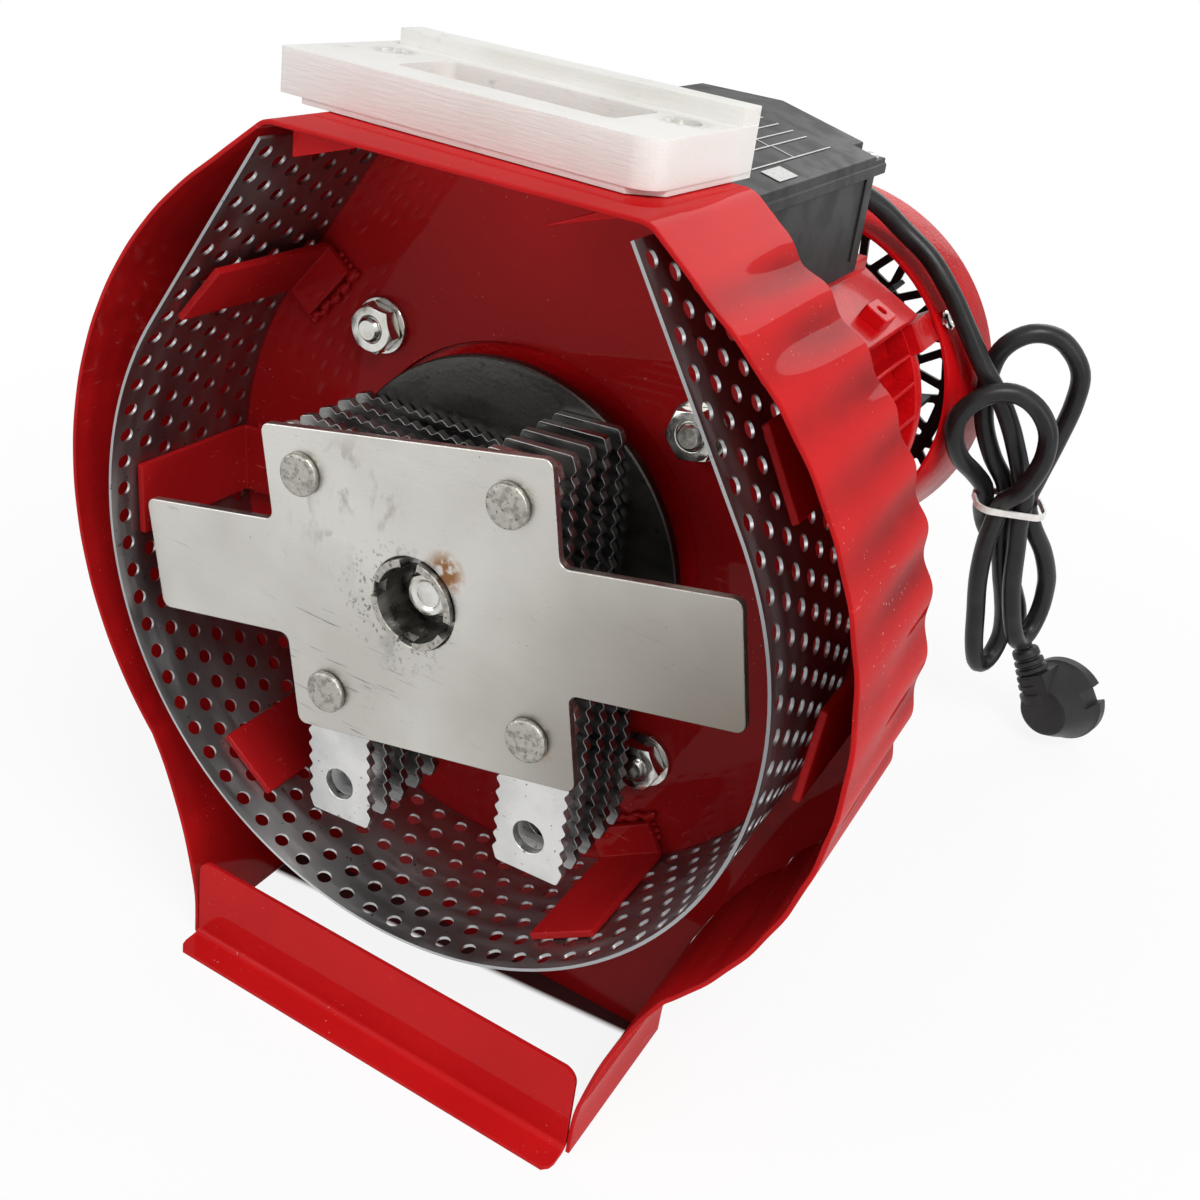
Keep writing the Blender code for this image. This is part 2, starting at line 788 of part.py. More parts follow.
def add_block_screws(parent, steel, block, seat, top):
    """Two countersunk screws through the block, each with its own clearance bore."""
    head = top - SCREW_SINK
    neck = head - SCREW_HEAD_HEIGHT
    above = top + 2.0 * BLOCK_RAIL_HEIGHT
    profile = [
        (0.0, head - SCREW_LENGTH),
        (SCREW_RADIUS, head - SCREW_LENGTH),
        (SCREW_RADIUS, neck),
        (SCREW_HEAD_RADIUS, neck),
        (SCREW_HEAD_RADIUS, head),
        (0.0, head),
    ]
    bore = [
        (0.0, seat - BLOCK_STEP_HEIGHT),
        (SCREW_RADIUS + GAP, seat - BLOCK_STEP_HEIGHT),
        (SCREW_RADIUS + GAP, neck - GAP),
        (SCREW_HEAD_RADIUS + GAP, neck - GAP),
        (SCREW_HEAD_RADIUS + GAP, above),
        (0.0, above),
    ]
    screws = (("block_screw_left", SCREW_LEFT_X), ("block_screw_right", SCREW_RIGHT_X))
    seat_turn = Matrix.Translation((BLOCK_X, BLOCK_Y, 0.0)) @ Matrix.Rotation(
        math.radians(BLOCK_SKEW), 4, "Z"
    )
    wrap = bpy.data.objects["casing_wrap"]
    for name, x in screws:
        centre = seat_turn @ Vector((x, SCREW_Y, 0.0))
        screw = add_object(name, turned(profile, 12), steel, parent, smooth=True)
        cutter = add_object(name + "_bore", turned(bore, 12), None, parent)
        low_cutter = add_object(name + "_sheet_bore", turned(bore, 12), None, parent)
        for obj, drop in ((screw, 0.0), (cutter, 0.0), (low_cutter, 2.0 * SHEET)):
            obj.location = (centre.x, centre.y, -drop)
            obj.rotation_euler = (math.radians(90.0), 0.0, 0.0)
        combine(block, cutter, "DIFFERENCE")
        combine(wrap, low_cutter, "DIFFERENCE")


def add_sieve(parent, look):
    outer = sieve_path(SIEVE_RADIUS + SIEVE_SHEET)
    inner = sieve_path(SIEVE_RADIUS)
    band = sheet(outer + inner[::-1], [], SIEVE_FRONT, BACK_PLATE_FRONT - GAP)
    add_object("sieve", band, look, parent, smooth=True)


def add_rotor_plate(rotor, steel):
    w, h = CROSS_WIDTH / 2.0, CROSS_HEIGHT / 2.0
    reach, arm = CROSS_REACH / 2.0, CROSS_ARM / 2.0
    quarter = [(w, arm), (w, h)]
    cross = [(reach, -arm), (reach, arm)] + quarter
    cross += [(-w, h), (-w, arm), (-reach, arm), (-reach, -arm)]
    cross += [(-w, -arm), (-w, -h), (w, -h), (w, -arm)]
    outline = rounded(cross, CROSS_CORNER, 2)
    holes = [circle(0.0, 0.0, HUB_RADIUS + GAP, 24)]
    for side_x in (-1.0, 1.0):
        for side_z in (-1.0, 1.0):
            x, z = side_x * PIN_X, side_z * PIN_Z
            holes.append(circle(x, z, PIN_RADIUS + GAP, PIN_SIDES))
    plate = sheet(outline, holes, PLATE_FRONT, PLATE_FRONT + PLATE_SHEET)
    made = add_object("rotor_front_plate", plate, steel, rotor)
    made.rotation_euler = (0.0, math.radians(-ROTOR_TILT), 0.0)


def add_rotor_disc(rotor, look):
    holes = [circle(0.0, 0.0, HUB_RADIUS + GAP, 24)]
    for _, side_x, side_z, _ in STACKS:
        holes.append(
            circle(side_x * PIN_X, side_z * PIN_Z, PIN_RADIUS + GAP, PIN_SIDES)
        )
    disc = sheet(
        circle(0.0, 0.0, DISC_RADIUS, 40), holes, DISC_FRONT, DISC_FRONT + DISC_SHEET
    )
    made = add_object("rotor_rear_disc", disc, look, rotor, smooth=True)
    made.rotation_euler = (0.0, math.radians(-ROTOR_TILT), 0.0)


def hammer_front(index):
    return HAMMER_FRONT + index * HAMMER_PITCH


def pin_profile():
    """Head, shank with a collar between each two hammers, and the riveted end."""
    head = PLATE_FRONT - GAP
    collar_back = HAMMER_FRONT - GAP
    profile = [
        (0.0, head - PIN_HEAD_HEIGHT),
        (PIN_HEAD_RADIUS, head - PIN_HEAD_HEIGHT),
        (PIN_HEAD_RADIUS, head),
        (PIN_RADIUS, head),
        (PIN_RADIUS, PLATE_FRONT + PLATE_SHEET + GAP),
        (PIN_COLLAR_RADIUS, PLATE_FRONT + PLATE_SHEET + GAP),
        (PIN_COLLAR_RADIUS, collar_back),
        (PIN_RADIUS, collar_back),
    ]
    for index in range(HAMMERS_IN_STACK - 1):
        start = hammer_front(index) + HAMMER_SHEET + GAP
        end = hammer_front(index + 1) - GAP
        profile += [
            (PIN_RADIUS, start),
            (PIN_COLLAR_RADIUS, start),
            (PIN_COLLAR_RADIUS, end),
            (PIN_RADIUS, end),
        ]
    rear = DISC_FRONT + DISC_SHEET + GAP
    profile += [
        (PIN_RADIUS, rear),
        (PIN_HEAD_RADIUS, rear),
        (PIN_HEAD_RADIUS, rear + PIN_HEAD_HEIGHT),
        (0.0, rear + PIN_HEAD_HEIGHT),
    ]
    return profile


def hammer_outline():
    """A flat bar with a toothed edge on both long sides, its first hole at zero."""
    beyond = (HAMMER_LENGTH - HAMMER_HOLE_SPACING) / 2.0
    teeth = math.floor(HAMMER_LENGTH / TOOTH_PITCH)
    start = -beyond + (HAMMER_LENGTH - teeth * TOOTH_PITCH) / 2.0
    crest, root = HAMMER_WIDTH / 2.0, HAMMER_WIDTH / 2.0 - TOOTH_DEPTH
    lower = [(-beyond, -root)]
    for i in range(teeth):
        lower.append((start + (i + 0.5) * TOOTH_PITCH, -crest))
        if i < teeth - 1:
            lower.append((start + (i + 1) * TOOTH_PITCH, -root))
    lower.append((HAMMER_LENGTH - beyond, -root))
    return lower + [(x, -z) for x, z in reversed(lower)]


def add_stacks(rotor, steel, dark_steel):
    pin_mesh = None
    hammer_mesh = None
    holes = [
        circle(0.0, 0.0, HAMMER_HOLE_RADIUS, PIN_SIDES),
        circle(HAMMER_HOLE_SPACING, 0.0, HAMMER_HOLE_RADIUS, PIN_SIDES),
    ]
    for name, side_x, side_z, rest in STACKS:
        x, z = turned_point((side_x * PIN_X, side_z * PIN_Z), ROTOR_TILT)
        if pin_mesh is None:
            pin = add_object(
                f"pin_{name}", turned(pin_profile(), PIN_SIDES), steel, rotor, smooth=True
            )
            pin_mesh = pin.data
        else:
            pin = bpy.data.objects.new(f"pin_{name}", pin_mesh)
            bpy.context.scene.collection.objects.link(pin)
            pin.parent = rotor
        pin.location = (x, 0.0, z)
        for index in range(HAMMERS_IN_STACK):
            label = f"hammer_{name}_{index + 1}"
            if hammer_mesh is None:
                bar = sheet(hammer_outline(), holes, 0.0, HAMMER_SHEET)
                hammer = add_object(label, bar, dark_steel, rotor)
                hammer_mesh = hammer.data
            else:
                hammer = bpy.data.objects.new(label, hammer_mesh)
                bpy.context.scene.collection.objects.link(hammer)
                hammer.parent = rotor
            hammer.location = (x, hammer_front(index), z)
            hammer.rotation_euler = (0.0, math.radians(-rest), 0.0)


def add_hub(rotor, steel, zinc):
    front = PLATE_FRONT - HUB_PROUD
    floor = BOLT_FRONT + BOLT_HEAD_HEIGHT + BOLT_WASHER_SHEET + GAP
    bore = SHAFT_RADIUS + GAP
    profile = [
        (HUB_BORE_RADIUS, front),
        (HUB_RADIUS, front),
        (HUB_RADIUS, HUB_BACK),
        (bore, HUB_BACK),
        (bore, floor + SHAFT_FIT),
        (HUB_BORE_RADIUS, floor + SHAFT_FIT),
    ]
    hub = add_object("rotor_hub", turned(profile[::-1], 24), steel, rotor, smooth=True)
    for i in range(HUB_SLOTS):
        slot = add_object(
            f"hub_slot_{i}",
            box(
                (HUB_BORE_RADIUS - HUB_SLOT_DEPTH, HUB_RADIUS + HUB_SLOT_DEPTH),
                (front - HUB_SLOT_DEPTH, front + HUB_SLOT_DEPTH),
                (-HUB_SLOT_WIDTH / 2.0, HUB_SLOT_WIDTH / 2.0),
            ),
            None,
            rotor,
        )
        slot.rotation_euler = (0.0, math.tau * (i + HUB_SLOT_TURN_SHARE) / HUB_SLOTS, 0.0)
        combine(hub, slot, "DIFFERENCE")
    head_back = BOLT_FRONT + BOLT_HEAD_HEIGHT
    bolt = add_object(
        "hub_bolt",
        sheet(hexagon(BOLT_HEAD_ACROSS), [], BOLT_FRONT, head_back + GAP),
        zinc,
        rotor,
    )
    washer = [
        (0.0, head_back),
        (BOLT_WASHER_RADIUS, head_back),
        (BOLT_WASHER_RADIUS, head_back + BOLT_WASHER_SHEET),
        (0.0, head_back + BOLT_WASHER_SHEET),
    ]
    ring = add_object("bolt_washer", turned(washer, 20), None, rotor)
    combine(bolt, ring, "UNION")


def add_shaft(rotor, steel, dark):
    front = BOLT_FRONT + BOLT_HEAD_HEIGHT + BOLT_WASHER_SHEET + 2.0 * GAP + SHAFT_FIT
    end = FAN_FRONT + FAN_DEPTH - GAP
    shaft = [
        (0.0, front),
        (SHAFT_RADIUS, front),
        (SHAFT_RADIUS, end),
        (0.0, end),
    ]
    core_front = STATOR_FRONT
    core_back = STATOR_FRONT + STATOR_LENGTH
    shaft[2:2] = [
        (SHAFT_RADIUS, core_front),
        (CORE_RADIUS, core_front),
        (CORE_RADIUS, core_back),
        (SHAFT_RADIUS, core_back),
    ]
    add_object("motor_rotor", turned(shaft, 20), steel, rotor, smooth=True)
    hub = [
        (SHAFT_RADIUS + GAP, FAN_FRONT),
        (FAN_HUB_RADIUS, FAN_FRONT),
        (FAN_HUB_RADIUS, FAN_FRONT + FAN_DEPTH),
        (SHAFT_RADIUS + GAP, FAN_FRONT + FAN_DEPTH),
    ]
    fan = add_object("cooling_fan", turned(hub[::-1], 20), dark, rotor, smooth=True)
    for i in range(FAN_BLADES):
        blade = add_object(
            f"fan_blade_{i}",
            box(
                (FAN_HUB_RADIUS - FAN_BLADE, FAN_RADIUS),
                (FAN_FRONT + FAN_BLADE, FAN_FRONT + FAN_DEPTH - FAN_BLADE),
                (-FAN_BLADE / 2.0, FAN_BLADE / 2.0),
            ),
            None,
            rotor,
        )
        blade.rotation_euler = (0.0, math.tau * i / FAN_BLADES, 0.0)
        combine(fan, blade, "UNION")


def add_nuts(parent, zinc):
    """A washer and a hexagon nut on each stud, in front of the back plate."""
    seat = BACK_PLATE_FRONT - GAP
    hole = circle(0.0, 0.0, STUD_RADIUS + GAP, 12)
    for i, degrees in enumerate(STUD_ANGLES):
        x, z = polar(STUD_CIRCLE_RADIUS, degrees)
        nut = add_object(
            f"flange_nut_{i + 1}",
            sheet(
                hexagon(NUT_ACROSS),
                [hole],
                seat - NUT_WASHER_SHEET - NUT_HEIGHT,
                seat - NUT_WASHER_SHEET / 2.0,
            ),
            zinc,
            parent,
        )
        washer = add_object(
            f"nut_washer_{i + 1}",
            sheet(
                circle(0.0, 0.0, NUT_WASHER_RADIUS, 16),
                [hole],
                seat - NUT_WASHER_SHEET,
                seat,
            ),
            None,
            parent,
        )
        for obj in (nut, washer):
            obj.location = (x, 0.0, z)
        combine(nut, washer, "UNION")


def frame_outline():
    """The motor frame's section: barrel, cooling fins, side pad and box pedestal."""
    fin_angles = [FIN_FIRST]
    while fin_angles[-1] < FIN_LAST - FIN_STEP / 2.0:
        fin_angles.append(fin_angles[-1] + FIN_STEP)
    fin_angles += list(SIDE_FIN_ANGLES)
    pieces = []
    half = math.degrees(math.asin(FIN_THICKNESS / 2.0 / BARREL_RADIUS))
    tip = math.degrees(math.asin(FIN_THICKNESS / 2.0 / FIN_RADIUS))
    for angle in fin_angles:
        turn = (angle + 360.0) % 360.0
        if turn > 270.0:
            turn -= 360.0
        pieces.append(
            (
                turn,
                [
                    polar(BARREL_RADIUS, turn - half),
                    polar(FIN_RADIUS, turn - tip),
                    polar(FIN_RADIUS, turn + tip),
                    polar(BARREL_RADIUS, turn + half),
                ],
            )
        )
    pad_end = turned_point((PAD_DISTANCE, -PAD_REACH), PAD_ANGLE)
    pad_under = turned_point((PAD_DISTANCE - PAD_THICKNESS, -PAD_REACH), PAD_ANGLE)
    slope = math.tan(math.radians(PAD_ANGLE - 90.0))
    pad_meets = pad_end[1] + (PEDESTAL_HALF_WIDTH - pad_end[0]) * slope
    wall_foot = math.sqrt(BARREL_RADIUS**2 - PEDESTAL_HALF_WIDTH**2)
    pad_root = turned_point(
        (PAD_DISTANCE - PAD_THICKNESS, -PAD_REACH / 3.0), PAD_ANGLE
    )
    pieces.append(
        (
            45.0,
            [
                pad_root,
                pad_under,
                pad_end,
                (PEDESTAL_HALF_WIDTH, pad_meets),
                (PEDESTAL_HALF_WIDTH, PEDESTAL_TOP),
                (-PEDESTAL_HALF_WIDTH, PEDESTAL_TOP),
                (-PEDESTAL_HALF_WIDTH, wall_foot),
            ],
        )
    )
    pieces.sort(key=lambda piece: piece[0])
    return [point for _, points in pieces for point in points]


def add_motor(parent, red, dark, steel, zinc):
    start = BACK_PLATE_FRONT + SHEET + GAP
    flange_back = start + FLANGE_THICKNESS
    flange = [
        (FLANGE_BORE_RADIUS, start + FLANGE_THICKNESS / 2.0),
        (FLANGE_STEP_RADIUS, start + FLANGE_THICKNESS / 2.0),
        (FLANGE_STEP_RADIUS, start),
        (FLANGE_RADIUS, start),
        (FLANGE_RADIUS, flange_back),
        (BEARING_RADIUS + BOX_WALL, flange_back),
        (BEARING_RADIUS + BOX_WALL, flange_back + BEARING_WIDTH),
        (BEARING_RADIUS + GAP, flange_back + BEARING_WIDTH),
        (BEARING_RADIUS + GAP, flange_back),
        (FLANGE_BORE_RADIUS, flange_back),
    ]
    shield = add_object("motor_flange", turned(flange[::-1], 30), red, parent, smooth=True)
    for i, degrees in enumerate(STUD_ANGLES):
        x, z = polar(STUD_CIRCLE_RADIUS, degrees)
        stud_front = BACK_PLATE_FRONT - STUD_PROUD
        stud = [
            (0.0, stud_front),
            (STUD_RADIUS, stud_front),
            (STUD_RADIUS, start + FLANGE_THICKNESS / 2.0),
            (0.0, start + FLANGE_THICKNESS / 2.0),
        ]
        rod = add_object(f"stud_{i}", turned(stud, 12), None, parent)
        rod.location = (x, 0.0, z)
        combine(shield, rod, "UNION")
    barrel_front = flange_back + GAP
    add_object(
        "motor_frame",
        sheet(
            frame_outline(),
            [circle(0.0, 0.0, BARREL_BORE_RADIUS, 32)],
            barrel_front,
            BARREL_BACK,
        ),
        red,
        parent,
    )
    back = BARREL_BACK + GAP
    rear = [
        (SHAFT_RADIUS + SHAFT_FIT, back + SHIELD_THICKNESS / 2.0),
        (BEARING_RADIUS + GAP, back + SHIELD_THICKNESS / 2.0),
        (BEARING_RADIUS + GAP, back - BEARING_WIDTH),
        (BEARING_RADIUS + BOX_WALL, back - BEARING_WIDTH),
        (BEARING_RADIUS + BOX_WALL, back),
        (FIN_RADIUS, back),
        (FIN_RADIUS, back + SHIELD_THICKNESS),
        (SHAFT_RADIUS + SHAFT_FIT, back + SHIELD_THICKNESS),
    ]
    end_shield = add_object("rear_shield", turned(rear, 28), red, parent, smooth=True)
    lug_reach = COWL_FRONT_RADIUS - COWL_SHEET - 2.0 * GAP
    for i, degrees in enumerate(COWL_SCREW_ANGLES):
        lug = add_object(
            f"shield_lug_{i}",
            box(
                (FAN_RADIUS + FAN_CLEARANCE, lug_reach),
                (back + GAP, COWL_FRONT + COWL_SCREW_SET_BACK + SHIELD_LUG_MARGIN),
                (-SHIELD_LUG_WIDTH / 2.0, SHIELD_LUG_WIDTH / 2.0),
            ),
            None,
            parent,
        )
        lug.rotation_euler = (0.0, math.radians(-degrees), 0.0)
        combine(end_shield, lug, "UNION")
    add_stator(parent, dark)
    add_bearings(parent, zinc, flange_back)
    add_cowl(parent, red, zinc, end_shield)


def add_stator(parent, look):
    outer = BARREL_BORE_RADIUS * math.cos(math.pi / 32) - GAP
    profile = [
        (STATOR_BORE_RADIUS + GAP, STATOR_FRONT),
        (outer, STATOR_FRONT),
        (outer, STATOR_FRONT + STATOR_LENGTH),
        (STATOR_BORE_RADIUS + GAP, STATOR_FRONT + STATOR_LENGTH),
    ]
    add_object("stator", turned(profile[::-1], 32), look, parent, smooth=True)


def add_bearings(parent, look, flange_back):
    inner = SHAFT_RADIUS + GAP
    seats = (
        ("bearing_front", flange_back + GAP, BEARING_WIDTH - GAP),
        ("bearing_rear", BARREL_BACK - BEARING_WIDTH + GAP, BEARING_WIDTH - GAP),
    )
    for name, front, width in seats:
        ring = [
            (inner, front),
            (BEARING_RADIUS, front),
            (BEARING_RADIUS, front + width),
            (inner, front + width),
        ]
        add_object(name, turned(ring[::-1], 20), look, parent, smooth=True)


def add_cowl(parent, red, zinc, end_shield):
    """A flared cup behind the fan, with an open grille in its rear face."""
    edge = COWL_EDGE
    outer_back = COWL_BACK_RADIUS
    profile = [
        (COWL_FRONT_RADIUS - COWL_SHEET, COWL_FRONT),
        (COWL_FRONT_RADIUS, COWL_FRONT),
        (outer_back, COWL_BACK - edge),
        (outer_back - edge, COWL_BACK),
        (outer_back - edge - COWL_RING_WIDTH, COWL_BACK),
        (outer_back - edge - COWL_RING_WIDTH, COWL_BACK - COWL_SHEET),
        (outer_back - edge - COWL_SHEET / 2.0, COWL_BACK - COWL_SHEET),
        (outer_back - COWL_SHEET, COWL_BACK - edge - COWL_SHEET / 2.0),
    ]
    cowl = add_object("fan_cowl", turned(profile[::-1], 36), red, parent, smooth=True)
    rim = outer_back - edge - COWL_RING_WIDTH / 2.0
    rings = [
        (COWL_HUB_RADIUS - COWL_RING_WIDTH, COWL_HUB_RADIUS),
        (COWL_RING_RADIUS, COWL_RING_RADIUS + COWL_RING_WIDTH),
    ]
    for i, (inner, outer) in enumerate(rings):
        ring = [
            (inner, COWL_BACK - COWL_SHEET),
            (outer, COWL_BACK - COWL_SHEET),
            (outer, COWL_BACK),
            (inner, COWL_BACK),
        ]
        made = add_object(f"grille_ring_{i}", turned(ring[::-1], 18), None, parent)
        combine(cowl, made, "UNION")
    for i in range(COWL_SPOKES):
        lean = math.tau * i / COWL_SPOKES
        spoke = add_object(
            f"grille_spoke_{i}",
            box(
                (COWL_HUB_RADIUS - COWL_RING_WIDTH / 2.0, rim),
                (
                    COWL_BACK - COWL_SHEET * (1.0 - SPOKE_INSET_SHARE),
                    COWL_BACK - COWL_SHEET * SPOKE_INSET_SHARE,
                ),
                (-COWL_SPOKE_WIDTH / 2.0, COWL_SPOKE_WIDTH / 2.0),
            ),
            None,
            parent,
        )
        spoke.rotation_euler = (0.0, lean, 0.0)
        combine(cowl, spoke, "UNION")
    add_cowl_screws(parent, zinc, cowl, end_shield)


def add_cowl_screws(parent, zinc, cowl, end_shield):
    depth = COWL_BACK - COWL_EDGE - COWL_FRONT
    flare = (COWL_BACK_RADIUS - COWL_FRONT_RADIUS) / depth
    head_back = COWL_SCREW_SET_BACK + 2.0 * COWL_SCREW_RADIUS
    seat = COWL_FRONT_RADIUS + flare * head_back + GAP
    inner = COWL_FRONT_RADIUS - COWL_SHEET - SHIELD_LUG_WIDTH / 2.0
    shank = [
        (0.0, inner),
        (COWL_SCREW_RADIUS, inner),
        (COWL_SCREW_RADIUS, seat),
        (2.0 * COWL_SCREW_RADIUS, seat),
        (2.0 * COWL_SCREW_RADIUS, seat + COWL_SCREW_RADIUS / 2.0),
        (COWL_SCREW_RADIUS, seat + COWL_SCREW_RADIUS),
        (0.0, seat + COWL_SCREW_RADIUS),
    ]
    hole = [
        (0.0, inner - GAP),
        (COWL_SCREW_RADIUS + GAP, inner - GAP),
        (COWL_SCREW_RADIUS + GAP, seat + COWL_SCREW_RADIUS),
        (0.0, seat + COWL_SCREW_RADIUS),
    ]
    y = COWL_FRONT + COWL_SCREW_SET_BACK
    for i, degrees in enumerate(COWL_SCREW_ANGLES):
        screw = add_object(
            f"cowl_screw_{i + 1}", turned(shank, 10), zinc, parent, smooth=True
        )
        cutters = [
            add_object(f"screw_hole_{i}_{k}", turned(hole, 10), None, parent)
            for k in range(2)
        ]
        outward = Vector((*polar(1.0, degrees), 0.0)).xzy
        for obj in [screw] + cutters:
            obj.location = (0.0, y, 0.0)
            obj.rotation_mode = "QUATERNION"
            obj.rotation_quaternion = Vector((0.0, 1.0, 0.0)).rotation_difference(
                outward
            )
        combine(cowl, cutters[0], "DIFFERENCE")
        combine(end_shield, cutters[1], "DIFFERENCE")


def add_terminal_box(parent, dark, rubber):
    half = BOX_HALF_WIDTH
    bottom = PEDESTAL_TOP + GAP
    section = [
        (-half, bottom),
        (half, bottom),
        (half, BOX_TOP),
        (half - BOX_WALL, BOX_TOP),
        (half - BOX_WALL, bottom + BOX_WALL),
        (BOX_WALL - half, bottom + BOX_WALL),
        (BOX_WALL - half, BOX_TOP),
        (-half, BOX_TOP),
    ]
    body = add_object("box_body", sheet(section, [], BOX_FRONT, BOX_BACK), dark, parent)
    for name, y in (("box_end_front", BOX_FRONT), ("box_end_back", BOX_BACK - BOX_WALL)):
        end = add_object(
            name,
            box(
                (BOX_WALL / 2.0 - half, half - BOX_WALL / 2.0),
                (y, y + BOX_WALL),
                (bottom + BOX_WALL / 2.0, BOX_TOP),
            ),
            None,
            parent,
        )
        combine(body, end, "UNION")
    hole = [
        (0.0, BOX_BACK - 2.0 * BOX_WALL),
        (GLAND_TIP_RADIUS + GAP, BOX_BACK - 2.0 * BOX_WALL),
        (GLAND_TIP_RADIUS + GAP, BOX_BACK + BOX_WALL),
        (0.0, BOX_BACK + BOX_WALL),
    ]
    cutter = add_object("gland_hole", turned(hole, 16), None, parent)
    cutter.location = (GLAND_X, 0.0, GLAND_Z)
    combine(body, cutter, "DIFFERENCE")
    lip = half + LID_LIP
    low = BOX_TOP + GAP
    lid_section = [
        (-lip, low - LID_LIP),
        (-half - GAP, low - LID_LIP),
        (-half - GAP, low),
        (half + GAP, low),
        (half + GAP, low - LID_LIP),
        (lip, low - LID_LIP),
        (lip, LID_LOW),
        (LID_CREASE_X, LID_TOP),
        (-lip + LID_LIP / 2.0, LID_TOP),
        (-lip, LID_TOP - LID_LIP / 2.0),
    ]
    add_object(
        "box_lid",
        sheet(lid_section, [], BOX_FRONT - LID_LIP, BOX_BACK + LID_LIP),
        dark,
        parent,
    )
    gland = [
        (CORD_RADIUS + GAP, BOX_BACK - BOX_WALL),
        (GLAND_TIP_RADIUS, BOX_BACK - BOX_WALL),
        (GLAND_TIP_RADIUS, BOX_BACK + GAP),
        (GLAND_RADIUS, BOX_BACK + GAP),
        (GLAND_RADIUS, BOX_BACK + BOX_WALL),
        (GLAND_TIP_RADIUS, BOX_BACK + GLAND_LENGTH),
        (CORD_RADIUS + GAP, BOX_BACK + GLAND_LENGTH),
    ]
    made = add_object("cord_gland", turned(gland[::-1], 16), rubber, parent, smooth=True)
    made.location = (GLAND_X, 0.0, GLAND_Z)


def add_support(parent, red):
    """A folded stand that carries the motor's rear, with a curved seat under the fins."""
    floor = -AXIS_HEIGHT
    seat_radius = FIN_RADIUS + GAP
    seat = []
    half_angle = math.degrees(math.asin(SUPPORT_SEAT / seat_radius))
    for i in range(7):
        seat.append(polar(seat_radius, -90.0 - half_angle + i * half_angle / 3.0))
    top = seat[0][1]
    waist = top - SUPPORT_SHEET
    outline = seat + [
        (SUPPORT_SEAT, waist - SUPPORT_SHEET),
        (SUPPORT_NECK, floor + SUPPORT_SHEET),
        (SUPPORT_HALF_WIDTH, floor + SUPPORT_SHEET),
        (SUPPORT_HALF_WIDTH, floor),
        (-SUPPORT_HALF_WIDTH, floor),
        (-SUPPORT_HALF_WIDTH, floor + SUPPORT_SHEET),
        (-SUPPORT_NECK, floor + SUPPORT_SHEET),
        (-SUPPORT_SEAT, waist - SUPPORT_SHEET),
    ]
    add_object(
        "rear_support", sheet(outline, [], SUPPORT_FRONT, SUPPORT_BACK), red, parent
    )


def smooth_points(route, step):
    """Evenly stepped points on a Catmull-Rom curve through the route."""
    fine = []
    ends = [route[0] * 2.0 - route[1]] + route + [route[-1] * 2.0 - route[-2]]
    for a, b, c, d in zip(ends, ends[1:], ends[2:], ends[3:]):
        for i in range(24):
            t = i / 24.0
            fine.append(
                0.5
                * (
                    2.0 * b
                    + (c - a) * t
                    + (2.0 * a - 5.0 * b + 4.0 * c - d) * t * t
                    + (3.0 * b - a - 3.0 * c + d) * t * t * t
                )
            )
    fine.append(route[-1])
    travelled = [0.0]
    for a, b in zip(fine, fine[1:]):
        travelled.append(travelled[-1] + (b - a).length)
    count = max(2, round(travelled[-1] / step))
    points = []
    at = 0
    for i in range(count + 1):
        goal = travelled[-1] * i / count
        while at < len(fine) - 2 and travelled[at + 1] < goal:
            at += 1
        span = travelled[at + 1] - travelled[at]
        points.append(fine[at].lerp(fine[at + 1], (goal - travelled[at]) / span))
    return points, travelled[-1]


def add_tube(name, points, look, parent):
    curve = bpy.data.curves.new(name, "CURVE")
    curve.dimensions = "3D"
    curve.bevel_depth = CORD_RADIUS
    curve.bevel_resolution = CORD_SIDES_LEVEL
    curve.use_fill_caps = True
    spline = curve.splines.new("POLY")
    spline.points.add(len(points) - 1)
    for slot, point in zip(spline.points, points):
        slot.co = (*point, 1.0)
    curve.materials.append(look)
    tube = bpy.data.objects.new(name, curve)
    bpy.context.scene.collection.objects.link(tube)
    tube.parent = parent


def hank_axes():
    along = Vector(HANK_ALONG).normalized()
    lean = Vector(HANK_LEAN)
    up = (lean - along * lean.dot(along)).normalized()
    return along, up, along.cross(up)


def hank_point(share):
    along, up, forward = hank_axes()
    offset = along * share[0] + up * share[1] + forward * share[2]
    return Vector(HANK_CENTRE) + offset * CORD_RADIUS


def least_gap(points, reach):
    """The smallest space between two stretches of the tube that aren't neighbours."""
    travelled = [0.0]
    for a, b in zip(points, points[1:]):
        travelled.append(travelled[-1] + (b - a).length)
    least = math.inf
    for i, first in enumerate(points):
        for k in range(i + 1, len(points)):
            if travelled[k] - travelled[i] > reach:
                least = min(least, (points[k] - first).length)
    return least - 2.0 * CORD_RADIUS


def add_cord(parent, rubber, white):
    hank_route = [hank_point(share) for share in HANK_ROUTE_SHARES]
    lead_route = [Vector(share) * DRUM_RADIUS for share in LEAD_ROUTE_SHARES]
    start = Vector((GLAND_X, BOX_BACK + GLAND_LENGTH + GAP, GLAND_Z))
    forward = Vector((0.0, 2.0 * CORD_RADIUS, 0.0))
    into = (hank_route[1] - hank_route[0]).normalized()
    meeting = hank_route[0] - into * GAP
    lead_route = (
        [start, start + forward]
        + lead_route
        + [meeting - into * 2.0 * CORD_RADIUS, meeting]
    )
    lead, lead_length = smooth_points(lead_route, CORD_STEP)
    hank, hank_length = smooth_points(hank_route, FOLD_STEP)
    add_tube("cord_lead", lead, rubber, parent)
    add_tube("cord_hank", hank, rubber, parent)
    fine, _ = smooth_points(hank_route, FOLD_STEP / 4.0)
    space = least_gap(fine, 5.0 * CORD_RADIUS)
    print(f"cord length {lead_length + hank_length:.4f} m, least gap {space:.5f} m")
    add_tie(parent, white)
    return hank[-1], (hank[-1] - hank[-2]).normalized()


